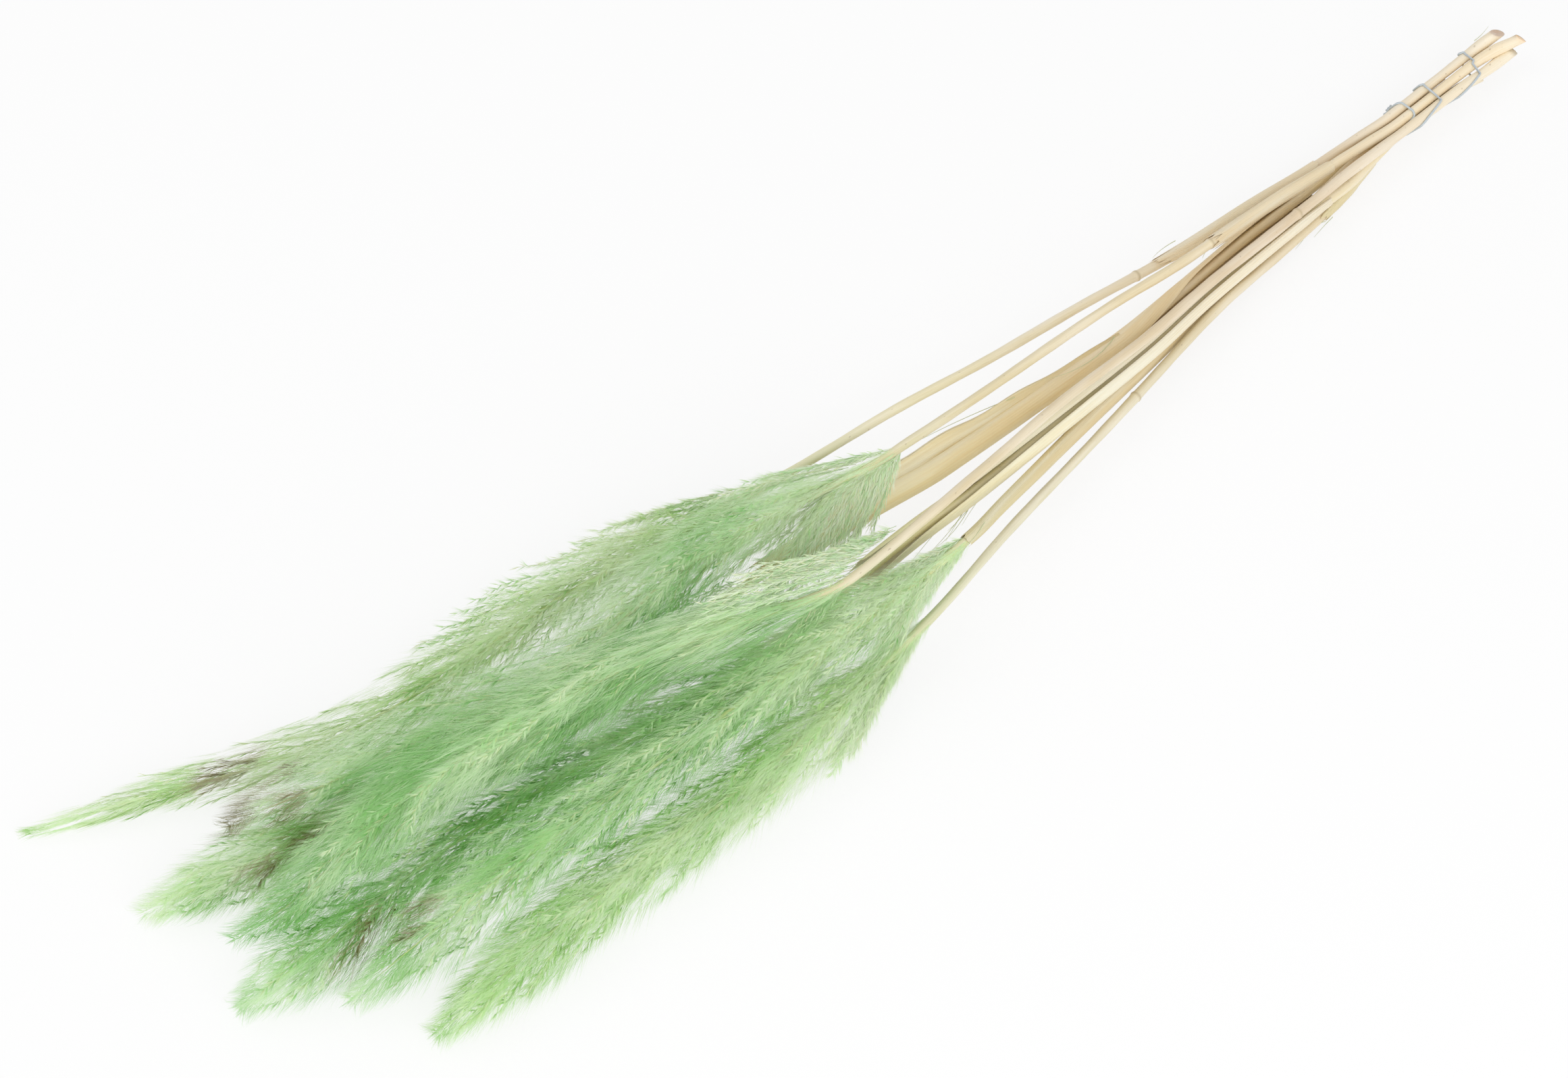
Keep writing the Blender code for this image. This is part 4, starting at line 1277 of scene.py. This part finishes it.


# Most sheaths are darker inside than out. Sheath 5 is painted paler than its straw and near white
# inside, and sheath 3 a full orange inside: partly their own cream and orange, partly painted light
# against the shade of their neighbours and of their own curl.
SHEATH_TONES = {
    1: ([(0.94, 0.83, 0.62), (0.95, 0.86, 0.64), (0.94, 0.80, 0.56)], (0.88, 0.72, 0.46)),
    2: ([(0.92, 0.81, 0.58), (0.94, 0.84, 0.62), (0.86, 0.72, 0.48)], (0.84, 0.68, 0.42)),
    3: ([(0.98, 0.86, 0.60), (0.98, 0.82, 0.54), (0.94, 0.76, 0.44), (0.92, 0.80, 0.48),
         (0.90, 0.84, 0.54)], (1.0, 0.82, 0.54)),
    5: ([(0.97, 0.90, 0.72), (0.98, 0.92, 0.74), (0.98, 0.94, 0.76), (0.92, 0.88, 0.62),
         (0.84, 0.80, 0.50)], (0.98, 0.96, 0.80)),
    6: ([(0.86, 0.72, 0.46), (0.80, 0.66, 0.39), (0.78, 0.65, 0.38), (0.74, 0.70, 0.42)],
        (0.70, 0.56, 0.32)),
    7: ([(0.93, 0.84, 0.58), (0.84, 0.76, 0.46)], (0.66, 0.52, 0.30)),
}
for stalk, (tones, inside) in SHEATH_TONES.items():
    random = np.random.default_rng(300 + stalk)
    sheath = mesh_from(f"sheath_{stalk}_straw", *sheath_shape(stalk, random))
    length = SHEATHS[stalk]["from"] - SHEATHS[stalk]["to"]
    finish = sheath_finish(f"sheath_straw_{stalk}", stalk, length, tones, inside)
    solids = [f"sheath_{stalk}"] if f"sheath_{stalk}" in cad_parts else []
    finish_piece(sheath, finish, "straw_sheath", *solids)
    print("sheath", stalk, length, "mm,", len(sheath.data.polygons), "triangles")

# %% [markdown]
# ## Leaf blade, torn fibres and elastic
#
# A strip of the widest sheath has peeled off along it as a folded blade. The torn ends trail
# single fibres, thin enough for three-sided tubes. Each fibre is placed by its two ends and bows
# a little, because dry fibre springs away from the stem.

# %% Make the leaf blade
BLADE = [(103, -27, 19.6, 1.2), (70, -25.4, 21.2, 3.4), (35, -22.4, 22.6, 5.4),
         (0, -18.4, 22.8, 7.4), (-25, -15.2, 22.8, 8.2), (-48, -12.4, 22.6, 8.0),
         (-62, -10.6, 22, 3.0)]


def blade_shape():
    """Corners, faces and map places of a strip folded along its middle."""
    x = np.linspace(BLADE[0][0], BLADE[-1][0], 44)
    y, z = along(BLADE, x)
    at = [point[0] for point in BLADE][::-1]
    width = np.interp(x, at, [point[3] for point in BLADE][::-1])[:, None]
    across = np.linspace(-0.5, 0.5, 9)[None, :]
    fold = width * (0.35 - 0.5 * np.abs(across) - 0.12 * np.cos(3 * np.pi * across))
    wave = 0.35 * np.sin(0.16 * x)[:, None] * across * width
    surface = np.stack([x[:, None] + 0 * across, y[:, None] + across * width,
                        z[:, None] - fold + wave + 0.5 * across * width], -1)
    down = np.broadcast_to(np.array([0.0, 0.0, -1.0]), surface.shape)
    return walled_shell(surface, down, 0.28)


blade = mesh_from("leaf_blade_straw", *blade_shape())
blade_tones = [(0.93, 0.76, 0.44), (0.95, 0.84, 0.54), (0.95, 0.87, 0.60), (0.94, 0.86, 0.58)]
finish_piece(blade, sheath_finish("blade_straw", 9, 165, blade_tones, (0.90, 0.76, 0.46)),
             "straw_sheath", "leaf_blade")
print("leaf blade:", len(blade.data.polygons), "triangles")

# %% Place the torn fibres
FIBRES = [
    ((-1, -45, 25), (-42, -48, 12)), ((-2, -46, 24), (-37, -50, 13)),
    ((-3, -47, 24), (-30, -50, 15)), ((-4, -46, 24), (-23, -51, 16)),
    ((-1, -47, 23), (-20, -49, 18)), ((8, -47, 24), (-14, -51, 18)),
    ((221, -35, 5), (204, -38.5, 2.5)), ((221, -34, 6), (201, -36, 3)),
    ((222, -36, 4), (195, -35, 2.5)), ((219, -34, 7), (203, -35.5, 3)),
    ((229, -38, 4), (216, -39, 1.5)), ((224, -38, 5), (210, -37, 3)),
    ((152, -9, 16), (132, -8.8, 14)), ((150, -10, 17), (139, -9.6, 15)),
    ((158, -8, 19), (143, -8.5, 20)), ((240, -28, 10), (227, -30, 9)),
    ((238, -20, 10), (224, -19, 11)), ((160, -23, 24.6), (157, -24, 22)),
    ((-88, -13, 23), (-106, -11, 22)), ((-86, -16, 22), (-104, -16, 20)),
    ((-85, -18, 20), (-108, -18, 17)), ((-84, -19, 18), (-102, -20, 15)),
    ((-88, -15, 23), (-112, -14, 21)), ((-80, -12, 23), (-99, -9, 23)),
    ((-60, -46, 26), (-76, -49, 24)), ((-58, -42, 27), (-74, -40, 26)),
    ((-14, -63, 33), (-30, -66, 33)), ((346, -18, 16), (356, -17.5, 18)),
    ((100, -27, 20), (60, -24.6, 23.4)), ((45, -22.4, 23), (-20, -11, 27)),
]


def fibre_routes(random):
    """Routes of the torn fibres, each bowed a little up or sideways."""
    ends = np.array(FIBRES, float)
    t = np.linspace(0, 1, BRANCH_POINTS)[None, :, None]
    bow = random.normal(0, 0.05, (len(ends), 1, 3)) * np.array([0.2, 1.0, 1.0])
    length = np.linalg.norm(ends[:, 1] - ends[:, 0], axis=-1)[:, None, None]
    routes = ends[:, :1] * (1 - t) + ends[:, 1:] * t + bow * length * 4 * t * (1 - t)
    routes[..., 2] = np.maximum(routes[..., 2], 0.6)
    return routes


random = np.random.default_rng(41)
routes = fibre_routes(random)
straw_band = np.full(len(routes), list(SPIKELET_TONES).index("straw"))
corners, faces, places = thin_tubes(routes, 0.22, 0.06, straw_band, len(SPIKELET_TONES))
fibres = mesh_from("torn_fibres", corners, faces, places)
finish_piece(fibres, branch_finish("torn_fibre"), "straw_sheath")
print("torn fibres:", len(routes))

# %% [markdown]
# The elastic is one thin pale band, wound nearly three times and knotted beside the stems. Its turns lie
# straight between the outermost stems and round over each. The third turn holds only the upper
# stems and dives between them and the lower group.

# %% Wind the elastic
BAND = 0.5                # radius of the elastic
UPPER_STEMS = (1, 2, 3, 6)
LOWER_LEFT_OUT = 11.2     # radians along the winding: from here only the upper stems are held
# Degrees along the winding, from +Y turning up over the stems, and the X reached there.
BAND_PATH = [(-80, 338), (28, 335), (88, 337), (112, 333), (154, 326), (202, 318), (300, 311),
             (388, 307), (448, 309), (466, 306), (484, 302), (514, 296), (562, 291), (650, 289),
             (742, 291), (814, 293), (898, 292), (916, 289), (960, 287)]


def band_points():
    """Points of the elastic, stretched over the outermost stems from one turn to the next."""
    degrees = np.linspace(BAND_PATH[0][0], BAND_PATH[-1][0], 220)
    x = np.interp(degrees, *zip(*BAND_PATH))
    x = np.convolve(np.pad(x, 4, mode="edge"), np.full(9, 1 / 9), "valid")
    points = []
    for one_x, angle in zip(x, np.radians(degrees)):
        out = (math.cos(angle), math.sin(angle))
        standing = []
        for stalk, data in STALKS.items():
            if angle > LOWER_LEFT_OUT and stalk not in UPPER_STEMS or one_x > data["cut_x"] + 1:
                continue
            y, z = [float(v[0]) for v in along(data["route"], [one_x])]
            radius = float(stem_radius(stalk, one_x)) + BAND
            standing.append((y * out[0] + z * out[1] + radius, y + radius * out[0],
                             z + radius * out[1]))
        _, y, z = max(standing)
        points.append((one_x, y, z))
    return np.array(points)


def elastic_finish():
    """Pale grey stretched rubber with a faint lengthwise texture."""
    finish = Finish("pale_rubber")
    place = finish.map_place()
    worn = finish.noise(place, (160.0, 14.0), 3.0)
    colour = finish.mix(worn, (0.62, 0.68, 0.70), (0.44, 0.49, 0.53))
    bump = finish.node("Bump", None, {"Strength": 0.4, "Distance": 0.0002, "Height": worn})
    return finish.done(finish.node("BsdfPrincipled", None, {
        "Base Color": colour, "Normal": bump, "Roughness": worn * 0.2 + 0.35}))


KNOT = (291.5, -15.6, 8.6)
turn = np.linspace(0, 2 * np.pi, 48)
knot = np.stack([np.sin(turn) + 2 * np.sin(2 * turn), np.cos(turn) - 2 * np.cos(2 * turn),
                 -np.sin(3 * turn)], -1) * 0.34 + KNOT
tail = np.linspace(0, 1, 9)[:, None]
tail_up = knot[:1] + tail * np.array([2.2, 0.8, 1.2]) + np.sin(3 * tail) * np.array([0, 0.4, 0])
tail_down = knot[20:21] + tail * np.array([-2.5, 1.2, -1.0])
corners, faces, places, total = [], [], [], 0
for line in (band_points(), knot, tail_up, tail_down):
    radii = np.full(len(line), BAND)
    radii[[0, -1]] = 0.05
    rings, _ = tube_rings(line, radii)
    corners.append(rings.reshape(-1, 3))
    faces.append(grid_faces(len(line), SIDES + 1) + total)
    places.append(grid_places(np.linspace(0.01, 0.99, len(line)), SIDES + 1))
    total += rings.shape[0] * rings.shape[1]
elastic = mesh_from("elastic_band", np.concatenate(corners), np.concatenate(faces),
                    np.concatenate(places))
finish_piece(elastic, elastic_finish(), "elastic", "elastic_tie")
print("elastic:", len(elastic.data.polygons), "triangles")

# %% Count the triangles
pieces = [made for made in bpy.data.objects if made.type == "MESH" and "OFBake" in made.data.uv_layers]
print("triangles in all:", sum(len(made.data.polygons) for made in pieces))
